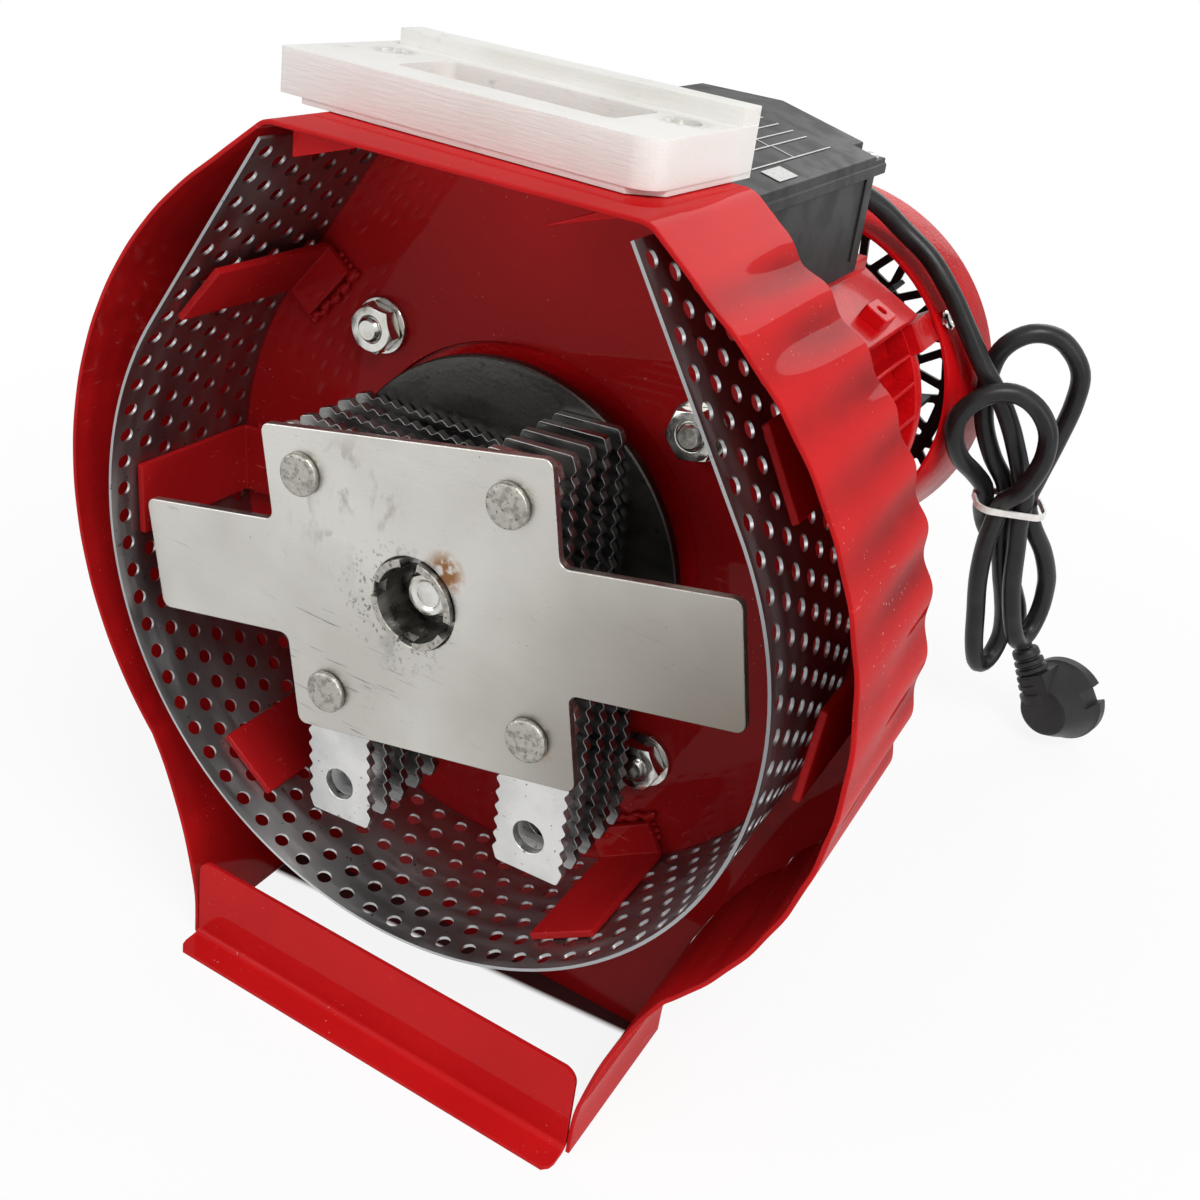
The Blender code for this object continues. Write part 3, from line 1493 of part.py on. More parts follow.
def add_tie(parent, white):
    outer = rounded(
        [
            (TIE_HALF_WIDTH + TIE_SHEET, -TIE_BEHIND - TIE_SHEET),
            (TIE_HALF_WIDTH + TIE_SHEET, TIE_FRONT + TIE_SHEET),
            (-TIE_HALF_WIDTH - TIE_SHEET, TIE_FRONT + TIE_SHEET),
            (-TIE_HALF_WIDTH - TIE_SHEET, -TIE_BEHIND - TIE_SHEET),
        ],
        TIE_CORNER / 2.0,
    )
    inner = rounded(
        [
            (TIE_HALF_WIDTH, -TIE_BEHIND),
            (TIE_HALF_WIDTH, TIE_FRONT),
            (-TIE_HALF_WIDTH, TIE_FRONT),
            (-TIE_HALF_WIDTH, -TIE_BEHIND),
        ],
        TIE_CORNER / 4.0,
    )
    band = sheet(
        outer, [inner], -TIE_HEIGHT / 2.0, TIE_HEIGHT / 2.0, along="Z"
    )
    along, up, forward = hank_axes()
    axes = Matrix((along, forward, -up)).transposed().to_4x4()
    band.transform(Matrix.Translation(HANK_CENTRE) @ axes)
    add_object("cable_tie", band, white, parent)


def pointing(direction):
    """The turn that carries the Y axis onto a direction."""
    return Vector((0.0, 1.0, 0.0)).rotation_difference(direction).to_matrix().to_4x4()


def add_plug(parent, rubber, brass, end, heading):
    """A round angled plug that stands on its rim, with a tapered boot and two pins."""
    axis = Vector(PLUG_AXIS).normalized()
    centre = Vector((*PLUG_CENTRE, PLUG_RADIUS - AXIS_HEIGHT))
    half = PLUG_DEPTH / 2.0
    profile = [
        (0.0, -half),
        (PLUG_BACK_RADIUS, -half),
        (PLUG_RADIUS - PLUG_RIM / 2.0, half - 2.0 * PLUG_RIM),
        (PLUG_RADIUS, half - PLUG_RIM),
        (PLUG_RADIUS, half),
        (0.0, half),
    ]
    body = turned(profile, 32)
    body.transform(Matrix.Translation(centre) @ pointing(axis))
    plug = add_object("plug", body, rubber, parent, smooth=True)
    start = end + heading * GAP
    boot_profile = [
        (0.0, 0.0),
        (BOOT_RADIUS, 0.0),
        (BOOT_ROOT_RADIUS, BOOT_LENGTH),
        (0.0, BOOT_LENGTH),
    ]
    boot = turned(boot_profile, 20)
    boot.transform(Matrix.Translation(start) @ pointing(heading))
    combine(plug, add_object("plug_boot", boot, None, parent), "UNION")
    to_boot = (-heading + axis * heading.dot(axis)).normalized()
    sideways = axis.cross(to_boot)
    for i, side in enumerate((-1.0, 1.0)):
        root = centre + axis * (half + GAP) + to_boot * side * PLUG_PIN_SPACING / 2.0
        pin_profile_points = [
            (0.0, 0.0),
            (PLUG_PIN_RADIUS, 0.0),
            (PLUG_PIN_RADIUS, PLUG_PIN_LENGTH),
            (0.0, PLUG_PIN_LENGTH),
        ]
        pin = turned(pin_profile_points, 12)
        pin.transform(Matrix.Translation(root) @ pointing(axis))
        add_object(f"plug_pin_{i + 1}", pin, brass, parent, smooth=True)
        notch = box(
            (-NOTCH_WIDTH / 2.0, NOTCH_WIDTH / 2.0),
            (half - PLUG_RIM, half + PLUG_RIM),
            (PLUG_RADIUS - NOTCH_DEPTH, PLUG_RADIUS + NOTCH_DEPTH),
        )
        outward = sideways * side
        turn = Matrix((axis.cross(outward), axis, outward)).transposed().to_4x4()
        notch.transform(Matrix.Translation(centre) @ turn)
        combine(plug, add_object(f"plug_notch_{i}", notch, None, parent), "DIFFERENCE")


def build():
    clear_scene()
    red = material("red_paint", (0.62, 0.012, 0.018), 0.22)
    nylon = material("white_nylon", (0.86, 0.86, 0.83), 0.45)
    bright = material("zinc_steel", (0.72, 0.72, 0.70), 0.30, 1.0)
    plain = material("rolled_steel", (0.46, 0.45, 0.43), 0.38, 1.0)
    dark_steel = material("hammer_steel", (0.20, 0.20, 0.20), 0.42, 1.0)
    perforated = material("sieve_steel", (0.22, 0.22, 0.23), 0.40, 1.0)
    dark = material("dark_plastic", (0.035, 0.035, 0.04), 0.5)
    rubber = material("black_rubber", (0.015, 0.015, 0.016), 0.45)
    white = material("white_tie", (0.85, 0.85, 0.83), 0.4)
    brass = material("nickel_brass", (0.70, 0.66, 0.55), 0.3, 1.0)

    mill = bpy.data.objects.new("mill", None)
    mill.location = (0.0, -(COWL_BACK - RAIL_FOOT) / 2.0, AXIS_HEIGHT)
    bpy.context.scene.collection.objects.link(mill)
    rotor = bpy.data.objects.new("rotor", None)
    rotor.parent = mill
    bpy.context.scene.collection.objects.link(rotor)

    outside = add_casing(mill, red)
    add_back_plate(mill, red, outside)
    add_front_rail(mill, red)
    add_feed_block(mill, nylon, bright)
    add_sieve(mill, perforated)
    add_rotor_plate(rotor, plain)
    add_rotor_disc(rotor, dark_steel)
    add_stacks(rotor, plain, dark_steel)
    add_hub(rotor, plain, bright)
    add_shaft(rotor, plain, dark)
    add_nuts(mill, bright)
    add_motor(mill, red, dark, plain, bright)
    add_terminal_box(mill, dark, rubber)
    add_support(mill, red)
    end, heading = add_cord(mill, rubber, white)
    add_plug(mill, rubber, brass, end, heading)


build()
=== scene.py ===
"""Looks of the electric grain mill: painted sheet, milled nylon, bare steel, castings and the
lead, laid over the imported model. Every piece is drawn in metres about the rotor's axis, with x
to the right of the open front, y back towards the motor and z up."""

import json
import math

import bmesh
import bpy
from mathutils import Matrix, Vector


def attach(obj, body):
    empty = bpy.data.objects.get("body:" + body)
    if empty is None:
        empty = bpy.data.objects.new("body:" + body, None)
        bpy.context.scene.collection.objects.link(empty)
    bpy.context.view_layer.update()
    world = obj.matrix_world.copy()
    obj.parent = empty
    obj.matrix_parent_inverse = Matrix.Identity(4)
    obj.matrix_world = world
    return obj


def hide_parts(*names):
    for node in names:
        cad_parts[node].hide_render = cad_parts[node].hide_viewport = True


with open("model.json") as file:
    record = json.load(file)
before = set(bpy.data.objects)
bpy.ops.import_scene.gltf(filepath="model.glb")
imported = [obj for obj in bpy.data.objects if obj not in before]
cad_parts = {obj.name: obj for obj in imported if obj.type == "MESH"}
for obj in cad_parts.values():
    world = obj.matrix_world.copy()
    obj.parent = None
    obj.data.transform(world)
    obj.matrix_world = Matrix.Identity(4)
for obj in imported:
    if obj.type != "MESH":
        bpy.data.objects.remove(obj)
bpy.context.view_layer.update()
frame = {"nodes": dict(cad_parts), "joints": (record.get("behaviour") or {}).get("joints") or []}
AXIS = Vector(next(j["pos_m"] for j in frame["joints"] if j["name"] == "rotor_spin"))

# Camera, solved from the photograph
CAMERA_AZIMUTH = 25.64
CAMERA_ELEVATION = 22.47
CAMERA_ROLL = 8.49
CAMERA_SPOT = (0.1992, -0.2856, 0.2069)
PHOTO_SIZE = 1200.0
FOCAL_PIXELS = 1361.35
PRINCIPAL_PIXELS = (625.93, 433.61)
SENSOR = 36.0
CLIP_START = 0.01

# Angles in degrees above which an edge stays sharp, and above which it is rounded
SHARP_ANGLE = 35.0
BEVEL_ANGLE = 32.0

# Casing
SHEET = 0.0015
GAP = 0.0003
DRUM_RADIUS = 0.1377
DRUM_RISE = 0.0025
DRUM_DEPTH = 0.0614
TOP_HEIGHT = 0.1304
TOP_HALF_WIDTH = 0.0604
TOP_CORNER = 0.0090
LEG_HALF_WIDTH = 0.0795
LEG_X_SHARES = (1.0, 1.004, 1.025, 1.09, 1.19)
LEG_Z_SHARES = (1.0, 0.918, 0.858, 0.742, 0.62)
ARC_END_ANGLE = -42.7
RIPPLE_PITCH = 0.0188
RIPPLE_HEIGHT = 0.0023
LEFT_RIPPLE_HEIGHT = 0.0005
RIPPLE_FRONT_SHARE = 0.16
# The groove mask's fixed value on the casing's inner face, which paints shade over it
INSIDE_SHADE = 0.34
BACK_PLATE_FRONT = 0.0580
BACK_HOLE_RADIUS = 0.0665
STUD_CIRCLE_RADIUS = 0.0825
STUD_ANGLES = (45.0, 135.0, 225.0, 315.0)
STUD_RADIUS = 0.0042
BRACKET_SHEET = 0.0025
BRACKET_TIP = 0.0060
BRACKET_BEND = 0.0030
INNER_BRACKET_WIDTH = 0.0245
OUTER_BRACKET_WIDTH = 0.0260
OUTER_BRACKET_RADIUS = 0.1225
INNER_FOOT = 0.0130
OUTER_FOOT = 0.0095
INNER_BRACKETS = ((141.4, 0.0055), (183.4, 0.0065), (234.5, 0.0090), (302.2, 0.0100))
OUTER_BRACKETS = ((36.0, 0.0120), (-1.5, 0.0120))
GUSSET_FRONT = 0.0040
GUSSET_WIDTH = 0.0260
GUSSET_DROP = 0.0085
GUSSET_INSET = 0.0070
GUSSET_SLIP = 0.0080
GUSSET_LAP = 0.0002
RAIL_HEIGHT = 0.0332
RAIL_FOOT = 0.0100
RAIL_CORNER = 0.0050
RAIL_CHAMFER = 0.0025
RAIL_BEND = 0.0022
RAIL_CELLS = 24
SEAM = 0.0001
SHEET_BEVEL = 0.00035
STUD_PLAY = 0.0008
CASING_ROWS = (0.0, 0.0060, 0.0150, 0.0250)
CASING_ROW_BEHIND = 0.0440

# Weld marks of the brackets; their places are shares of half the width and of the foot
CRATER = (
    (0.0, -0.0001), (0.0008, -0.0002), (0.0012, -0.0008),
    (0.0017, -0.0007), (0.0021, 0.0001), (0.0, 0.0001),
)
SPOT_FIRST, SPOT_STEP, SPOT_SLIP = -0.62, 0.60, 0.08
SPOT_REACH, SPOT_ROW = 0.42, 0.30
BEAD_STOPS = 15
BEAD_LENGTH, BEAD_REACH = 1.06, 1.02
BEAD_SIZE, BEAD_SWELL, BEAD_DRIFT, BEAD_PROUD = 0.0009, 0.0010, 0.0006, 0.0015
SIDE_SIZE, SIDE_SWELL, SIDE_PROUD = 0.0008, 0.0005, 0.0017
SIDE_REACH, SIDE_STEP = 0.40, 0.18

# Feed block, drawn about its own centre
BLOCK_LENGTH = 0.1290
BLOCK_DEPTH = 0.0550
BLOCK_X = -0.0115
BLOCK_Y = 0.0485
BLOCK_SKEW = -3.5
BLOCK_HEIGHT = 0.0153
BLOCK_STEP_HEIGHT = 0.0018
BLOCK_STEP_WIDTH = 0.0090
BLOCK_CORNER = 0.0080
BLOCK_RAIL_HEIGHT = 0.0052
BLOCK_RAIL_DEPTH = 0.0100
BLOCK_RAIL_INSET = 0.0060
WINDOW_X = (-0.0330, 0.0420)
WINDOW_Y = (-0.0140, 0.0110)
INLET_DEPTH = 0.0180
SCREW_PLACES = ((-0.0500, 0.0050), (0.0530, 0.0050))
SCREW_HEAD_RADIUS = 0.0040
SCREW_HEAD_SUNK = 0.0016
BLOCK_EDGE = 0.0012
WINDOW_CORNER = 0.0030
SINK_FLOOR = (
    (0.0, -0.0030),
    (SCREW_HEAD_RADIUS - 0.0012, -0.0030),
    (SCREW_HEAD_RADIUS + 0.0004, 0.0),
)
SINK_RIM = ((SCREW_HEAD_RADIUS + 0.0012, 0.0010), (0.0, 0.0010))
BLOCK_SCREW = (
    (0.0, -0.0118),
    (0.0021, -0.0110),
    (0.0021, -0.0026),
    (SCREW_HEAD_RADIUS - 0.0004, -0.0005),
    (SCREW_HEAD_RADIUS - 0.0002, -0.0002),
    (SCREW_HEAD_RADIUS - 0.0006, 0.0),
    (0.0019, 0.0002),
    (0.0016, -0.0012),
    (0.0, -0.0015),
)

# Sieve
SIEVE_RADIUS = 0.1166
SIEVE_SHEET = 0.0010
SIEVE_FRONT = -0.0038
SIEVE_END = (0.0585, 0.1259)
HOLE_PITCH = 0.0098
HOLE_RADIUS = 0.0025
HOLE_COLUMNS = 7

# The edge of a sieve cell, in shares of its length and width
CELL_EDGE = (
    (1.0, 0.5), (1.0, 1.0), (0.5, 1.0), (0.0, 1.0),
    (0.0, 0.5), (0.0, 0.0), (0.5, 0.0), (1.0, 0.0),
)

# Rotor
ROTOR_TILT = 12.0
PLATE_FRONT = 0.0036
PLATE_SHEET = 0.0030
CROSS_WIDTH = 0.1034
CROSS_HEIGHT = 0.1008
CROSS_REACH = 0.2120
CROSS_ARM = 0.0385
CROSS_CORNER = 0.0030
PIN_X = 0.0372
PIN_Z = 0.0359
PIN_RADIUS = 0.0050
PIN_HEAD_RADIUS = 0.0069
PIN_HEAD_HEIGHT = 0.0021
PIN_COLLAR_RADIUS = 0.0074
PIN_HEAD = (
    (0.0, 0.00012),
    (PIN_HEAD_RADIUS * 0.55, 0.00005),
    (PIN_HEAD_RADIUS - 0.0009, 0.0),
    (PIN_HEAD_RADIUS - 0.0003, 0.00015),
    (PIN_HEAD_RADIUS, 0.0006),
)
DISC_RADIUS = 0.0646
DISC_FRONT = 0.0466
DISC_SHEET = 0.0040
DISC_EDGE = 0.0005
HUB_RADIUS = 0.0144
HUB_BORE_RADIUS = 0.0120
HUB_PROUD = 0.0019
HUB_NOTCH = 0.0056
HUB_NOTCH_DEPTH = 0.0042
HUB_NOTCH_ANGLES = (97.0, 176.0, 268.0, 346.0)
HUB_BACK = 0.0560
HUB_EDGE = 0.0002
HUB_STEP = 0.0005
HUB_SIDES = 180
BOLT_FRONT = 0.0100
BOLT_ACROSS = 0.0130
BOLT_HEIGHT = 0.0055
BOLT_FLANGE_RADIUS = 0.0095
BOLT_DISH = 0.0007
BOLT_WASHER_SHEET = 0.0020
BOLT_WASHER = (
    (0.0, 0.0),
    (BOLT_FLANGE_RADIUS - 0.0006, 0.0),
    (BOLT_FLANGE_RADIUS, 0.0006),
    (BOLT_FLANGE_RADIUS, BOLT_WASHER_SHEET),
    (0.0, BOLT_WASHER_SHEET),
)
SHAFT_RADIUS = 0.0095
RUST_PLACE = (0.0100, 0.0, 0.0142)

# Hammers
HAMMER_LENGTH = 0.0635
HAMMER_HOLE_SPACING = 0.0375
HAMMER_WIDTH = 0.0250
HAMMER_SHEET = 0.0030
HAMMER_HOLE_RADIUS = 0.0055
HAMMER_FRONT = 0.0080
HAMMER_PITCH = 0.0088
HAMMERS_IN_STACK = 5
TOOTH_PITCH = 0.0050
TOOTH_DEPTH = 0.0013
TOOTH_FLAT = 0.10
TOOTH_BLUNT = 0.0001
STACKS = (
    ("upper_left", -1.0, 1.0, 0.0),
    ("upper_right", 1.0, 1.0, -86.0),
    ("lower_left", -1.0, -1.0, -85.0),
    ("lower_right", 1.0, -1.0, -87.0),
)

# Motor
FLANGE_RADIUS = 0.0995
FLANGE_FRONT = 0.0598
FLANGE_THICKNESS = 0.0100
FLANGE_EDGE = 0.0012
FLANGE_STEP = 0.0050
FLANGE_BORE = 0.0142
BEARING_RADIUS = 0.0200
BEARING_SEAT_DEPTH = 0.0120
SEAT_RADIUS = 0.0232
STUD_PROUD = 0.0092
THREAD_PITCH = 0.00125
NUT_ACROSS = 0.0150
NUT_HEIGHT = 0.0058
NUT_TURN = 17.0
NUT_TURN_STEP = 23.0
NUT_SIDES = 72
NUT_CROWN = 0.97
NUT_DROP = 0.58
NUT_EDGE = 0.0006
NUT_WASHER_RADIUS = 0.0095
NUT_WASHER_SHEET = 0.0016
NUT_WASHER = (
    (STUD_RADIUS + 0.0003, 0.0),
    (NUT_WASHER_RADIUS - 0.0002, 0.0),
    (NUT_WASHER_RADIUS, 0.0002),
)
BARREL_RADIUS = 0.0620
BARREL_BORE = 0.0560
BARREL_BACK = 0.2620
FIN_RADIUS = 0.0717
FIN_THICKNESS = 0.0024
FIN_FOOT = 0.0012
FIN_TAPER = 0.36
FIN_ANGLES = tuple(range(-150, -29, 12)) + (-18, -6, 6, 18, 28, 152, 162, 174, 186, 198)
PAD_ANGLE = 63.4
PAD_DISTANCE = 0.0737
PAD_REACH = 0.0331
PAD_THICKNESS = 0.0050
PAD_BOSS_Y = 0.2240
BOSS_WIDTH = 0.0055
BOSS_LENGTH = 0.0065
BOSS_HEIGHT = 0.0060
BOSS_BORE = 0.0021
BOSS_INSET = 0.0085
PEDESTAL_HALF_WIDTH = 0.0360
PEDESTAL_TOP = 0.0700
SHIELD_THICKNESS = 0.0100
SHIELD_EDGE = 0.0030
SHAFT_PLAY = 0.0005
LUG_ANGLES = (32.6, 212.6)
LUG_ROOT = 0.0660
LUG_LENGTH = 0.0220
LUG_HALF_WIDTH = 0.0065
COWL_FRONT = 0.2870
COWL_BACK = 0.3250
COWL_FRONT_RADIUS = 0.0783
COWL_BACK_RADIUS = 0.0887
COWL_SHEET = 0.0018
COWL_EDGE = 0.0040
COWL_SCREW_REACH = 0.0090
COWL_SCREW_INSET = 0.0050
PAN_SCREW = (
    (0.0, -0.0080), (0.0020, -0.0080), (0.0020, 0.0), (0.0046, 0.0), (0.0045, 0.0009),
    (0.0036, 0.0019), (0.0018, 0.0021), (0.0008, 0.0014), (0.0, 0.0010),
)
GRILLE_RINGS = (0.0150, 0.0330, 0.0510, 0.0680, 0.0835)
GRILLE_CELLS = (9, 13, 18, 22)
GRILLE_BAR = 0.0058
GRILLE_CORNER = 0.0009
GRILLE_LAP = 0.0006
FAN_FRONT = 0.2905
FAN_DEPTH = 0.0240
FAN_RADIUS = 0.0643
FAN_BLADES = 7
FAN_HUB_RADIUS = 0.0200
BLADE_LAP = 0.0020
BLADE_INSET = 0.0022
BLADE_CUT = (0.0040, 0.0070)
BLADE_HALF_SHEET = 0.0011

# Terminal box
BOX_HALF_WIDTH = 0.0412
BOX_FRONT = 0.1020
BOX_BACK = 0.2340
BOX_LOW = 0.0703
BOX_TOP = 0.1120
BOX_WALL = 0.0030
BOX_CORNER = 0.0040
BOX_RIB_INSET = (0.0220, 0.0140)
BOX_RIB_PROUD = 0.0008
BOX_RIB_WIDTH = 0.0024
LID_LIP = 0.0023
LID_TOP = 0.1290
LID_LOW = 0.1175
LID_CREASE_X = -0.0040
LID_STEP = 0.0009
LID_NOTCH = (0.0110, 0.0090, 0.0015)
LID_SCREW_INSET = (0.0058, 0.0030)
LID_SCREW = (
    (0.0, -0.0020), (0.0034, -0.0020), (0.0034, 0.0), (0.0030, 0.0008),
    (0.0016, 0.0011), (0.0010, 0.0004), (0.0, 0.0003),
)
PRINT_LINE = 0.0006
PRINT_THICKNESS = 0.00012
TABLE_LINES = (
    (0.0080, 0.0100, 0.0960),
    (0.0140, 0.0100, 0.0980),
    (0.0200, 0.0100, 0.0990),
    (0.0255, 0.0100, 0.1000),
    (0.0350, 0.0290, 0.1020),
)
TABLE_SPLITS = ((0.0200, 0.0255, 0.0640), (0.0255, 0.0350, 0.0660))
TABLE_SQUARE = ((0.0375, 0.0450), (0.0320, 0.0480))
GLAND_X = 0.0180
GLAND_Z = 0.0960
GLAND_RADIUS = 0.0080
GLAND_LENGTH = 0.0210
GLAND_RIBS = 6
GLAND_NECK = 0.0060
GLAND_TIP = 0.0054
GLAND_BORE = ((0.0, -0.0080), (0.0064, -0.0080), (0.0064, 0.0040), (0.0, 0.0040))

# Rear support
SUPPORT_Y = (0.1700, 0.2000)
SUPPORT_SHEET = 0.0040
SUPPORT_SEAT = 0.0240
SUPPORT_SEAT_RADIUS = 0.0720
SUPPORT_NECK = 0.0300
SUPPORT_HALF_WIDTH = 0.0560

# Lead
CORD_RADIUS = 0.0044
CORD_STEP = 0.0030
HANK_CENTRE = (0.1110, 0.3120, -0.0380)
HANK_ALONG = (0.90153, 0.43271, 0.0)
HANK_LEAN = (-17.0, -22.0, 157.0)
TIE_HALF_WIDTH = 0.0152
TIE_FRONT = 0.0098
TIE_BEHIND = 0.0098
TIE_SHEET = 0.0012
TIE_HEIGHT = 0.0032
TIE_CORNERS = (0.0072, 0.0060)
PLUG_RADIUS = 0.0205
PLUG_DEPTH = 0.0270
PLUG_AXIS = (0.25, 0.97, 0.0)
PLUG_CENTRE = (0.1530, 0.3440)
PLUG_BACK = ((0.0, 0.0), (0.0098, 0.0), (0.0118, 0.0012), (0.0150, 0.0080))
PLUG_FACE = (
    (0.0182, -0.0110),
    (PLUG_RADIUS - 0.0008, -0.0072),
    (PLUG_RADIUS, -0.0062),
    (PLUG_RADIUS, -0.0008),
    (PLUG_RADIUS - 0.0008, 0.0),
    (0.0, 0.0),
)
NOTCH_WIDTH = 0.0042
NOTCH_LENGTH = 0.0150
NOTCH_DEPTH = 0.0048
SPINE_WIDTH = 0.0068
SPINE_HEIGHT = (-0.0090, 0.0185)
PIN_SPACING = 0.0095
CONTACT_PIN = (
    (0.0, 0.0), (0.0024, 0.0), (0.0024, 0.0165),
    (0.0019, 0.0184), (0.0009, 0.0190), (0.0, 0.0190),
)
BOOT_LENGTH = 0.0260
BOOT_RADIUS = 0.0068
BOOT_FLARE = 0.0030
BOOT_GROOVE = 0.0014
BOOT_RIBS = 5

# The dark corner between the back plate and the floor
SHADOW_SLANT = 0.080
SHADOW_DEPTH = 0.0118
SHADOW_EDGE = 0.0028
SHADOW_COLOUR = (0.05, 0.006, 0.007)

# The floor, white beyond a span of distances, and the lamps: place, width, height and power
FLOOR_COLOUR = (0.90, 0.90, 0.90)
FLOOR_RADIUS = 6.0
FLOOR_DROP = 0.0002
WHITE_SPAN = (0.18, 0.60)
LEAST_WHITE = 0.88
WORLD_STRENGTH = 0.30
LAMP_TARGET = (0.0, 0.0, 0.15)
LAMPS = (
    ("key_light", (0.55, -0.55, 1.10), 0.55, 0.55, 9.0),
    ("side_light", (1.20, -0.30, 0.45), 0.16, 1.0, 3.2),
    ("fill_light", (-0.85, -1.0, 0.55), 0.8, 0.8, 4.2),
    ("back_light", (0.1, 1.1, 0.9), 0.7, 0.7, 3.5),
)

# The lead's route from the gland to the hank, in shares of the drum's radius
LEAD_ROUTE_SHARES = (
    (0.1520, 1.975, 0.6850),
    (0.2250, 2.045, 0.6350),
    (0.3080, 2.080, 0.5700),
    (0.4070, 2.085, 0.5050),
    (0.4930, 2.085, 0.4170),
    (0.5650, 2.105, 0.3130),
    (0.6120, 2.130, 0.2350),
)

# The hank's route, across, up and forward of its tie, in shares of the cord's radius
HANK_ROUTE_SHARES = (
    (-6.205, 14.48, 0.0),
    (-4.77, 12.73, 0.0),
    (-3.48, 11.0, -0.1),
    (-2.05, 8.64, 0.0),
    (-0.91, 6.36, -0.05),
    (-0.11, 4.55, 0.23),
    (0.57, 2.95, 0.80),
    (1.08, 1.59, 0.95),
    (1.14, 0.0, 1.14),
    (1.32, -2.0, 1.14),
    (1.75, -4.5, 1.14),
    (2.5, -9.1, 1.14),
    (3.6, -13.2, 1.2),
    (4.6, -15.6, 1.0),
    (5.7, -16.8, -0.3),
    (6.9, -16.2, -1.7),
    (7.6, -14.0, -2.6),
    (7.5, -11.4, -2.6),
    (7.0, -9.1, -2.3),
    (5.6, -6.0, -1.8),
    (3.6, -3.0, -1.25),
    (2.18, 0.0, -1.09),
    (2.5, 2.7, -1.25),
    (3.4, 6.8, -1.7),
    (4.2, 11.4, -2.2),
    (3.8, 15.0, -2.3),
    (1.1, 17.9, -2.3),
    (-2.1, 18.1, -2.3),
    (-4.5, 15.9, -2.35),
    (-5.0, 12.2, -2.3),
    (-4.3, 8.0, -2.05),
    (-2.6, 4.4, -1.6),
    (-0.8, 2.0, -1.18),
    (0.0, 0.0, -1.09),
    (0.2, -2.5, -1.09),
    (0.6, -4.8, -1.09),
    (1.8, -9.1, -1.25),
    (2.9, -12.3, -1.7),
    (3.8, -15.3, -2.2),
    (4.1, -18.0, -2.2),
    (3.2, -20.2, -1.1),
    (1.6, -20.0, 0.5),
    (0.4, -17.2, 1.3),
    (-0.4, -13.2, 1.2),
    (-1.2, -8.8, 1.1),
    (-1.5, -4.2, 1.14),
    (-1.14, 0.0, 1.14),
    (-1.02, 1.14, 1.7),
    (-0.6, 2.3, 2.6),
    (0.0, 3.5, 3.2),
    (0.7, 5.5, 3.3),
    (1.15, 7.6, 3.0),
    (0.8, 10.1, 2.65),
    (-0.9, 12.3, 2.4),
    (-3.4, 13.4, 2.32),
    (-6.1, 12.7, 2.3),
    (-8.0, 10.5, 2.4),
    (-8.0, 7.7, 2.3),
    (-6.6, 5.1, 1.3),
    (-4.4, 2.9, -0.2),
    (-2.9, 1.3, -0.95),
    (-2.36, 0.0, -1.12),
    (-2.15, -1.4, -1.75),
    (-1.7, -2.7, -2.5),
    (-0.8, -4.6, -3.1),
    (0.9, -6.9, -3.4),
    (2.7, -9.3, -3.55),
    (4.3, -12.1, -3.75),
    (5.5, -14.6, -3.95),
    (6.2, -16.9, -4.0),
    (6.6, -18.0, -3.72),
    (7.4, -19.4, -3.0),
)


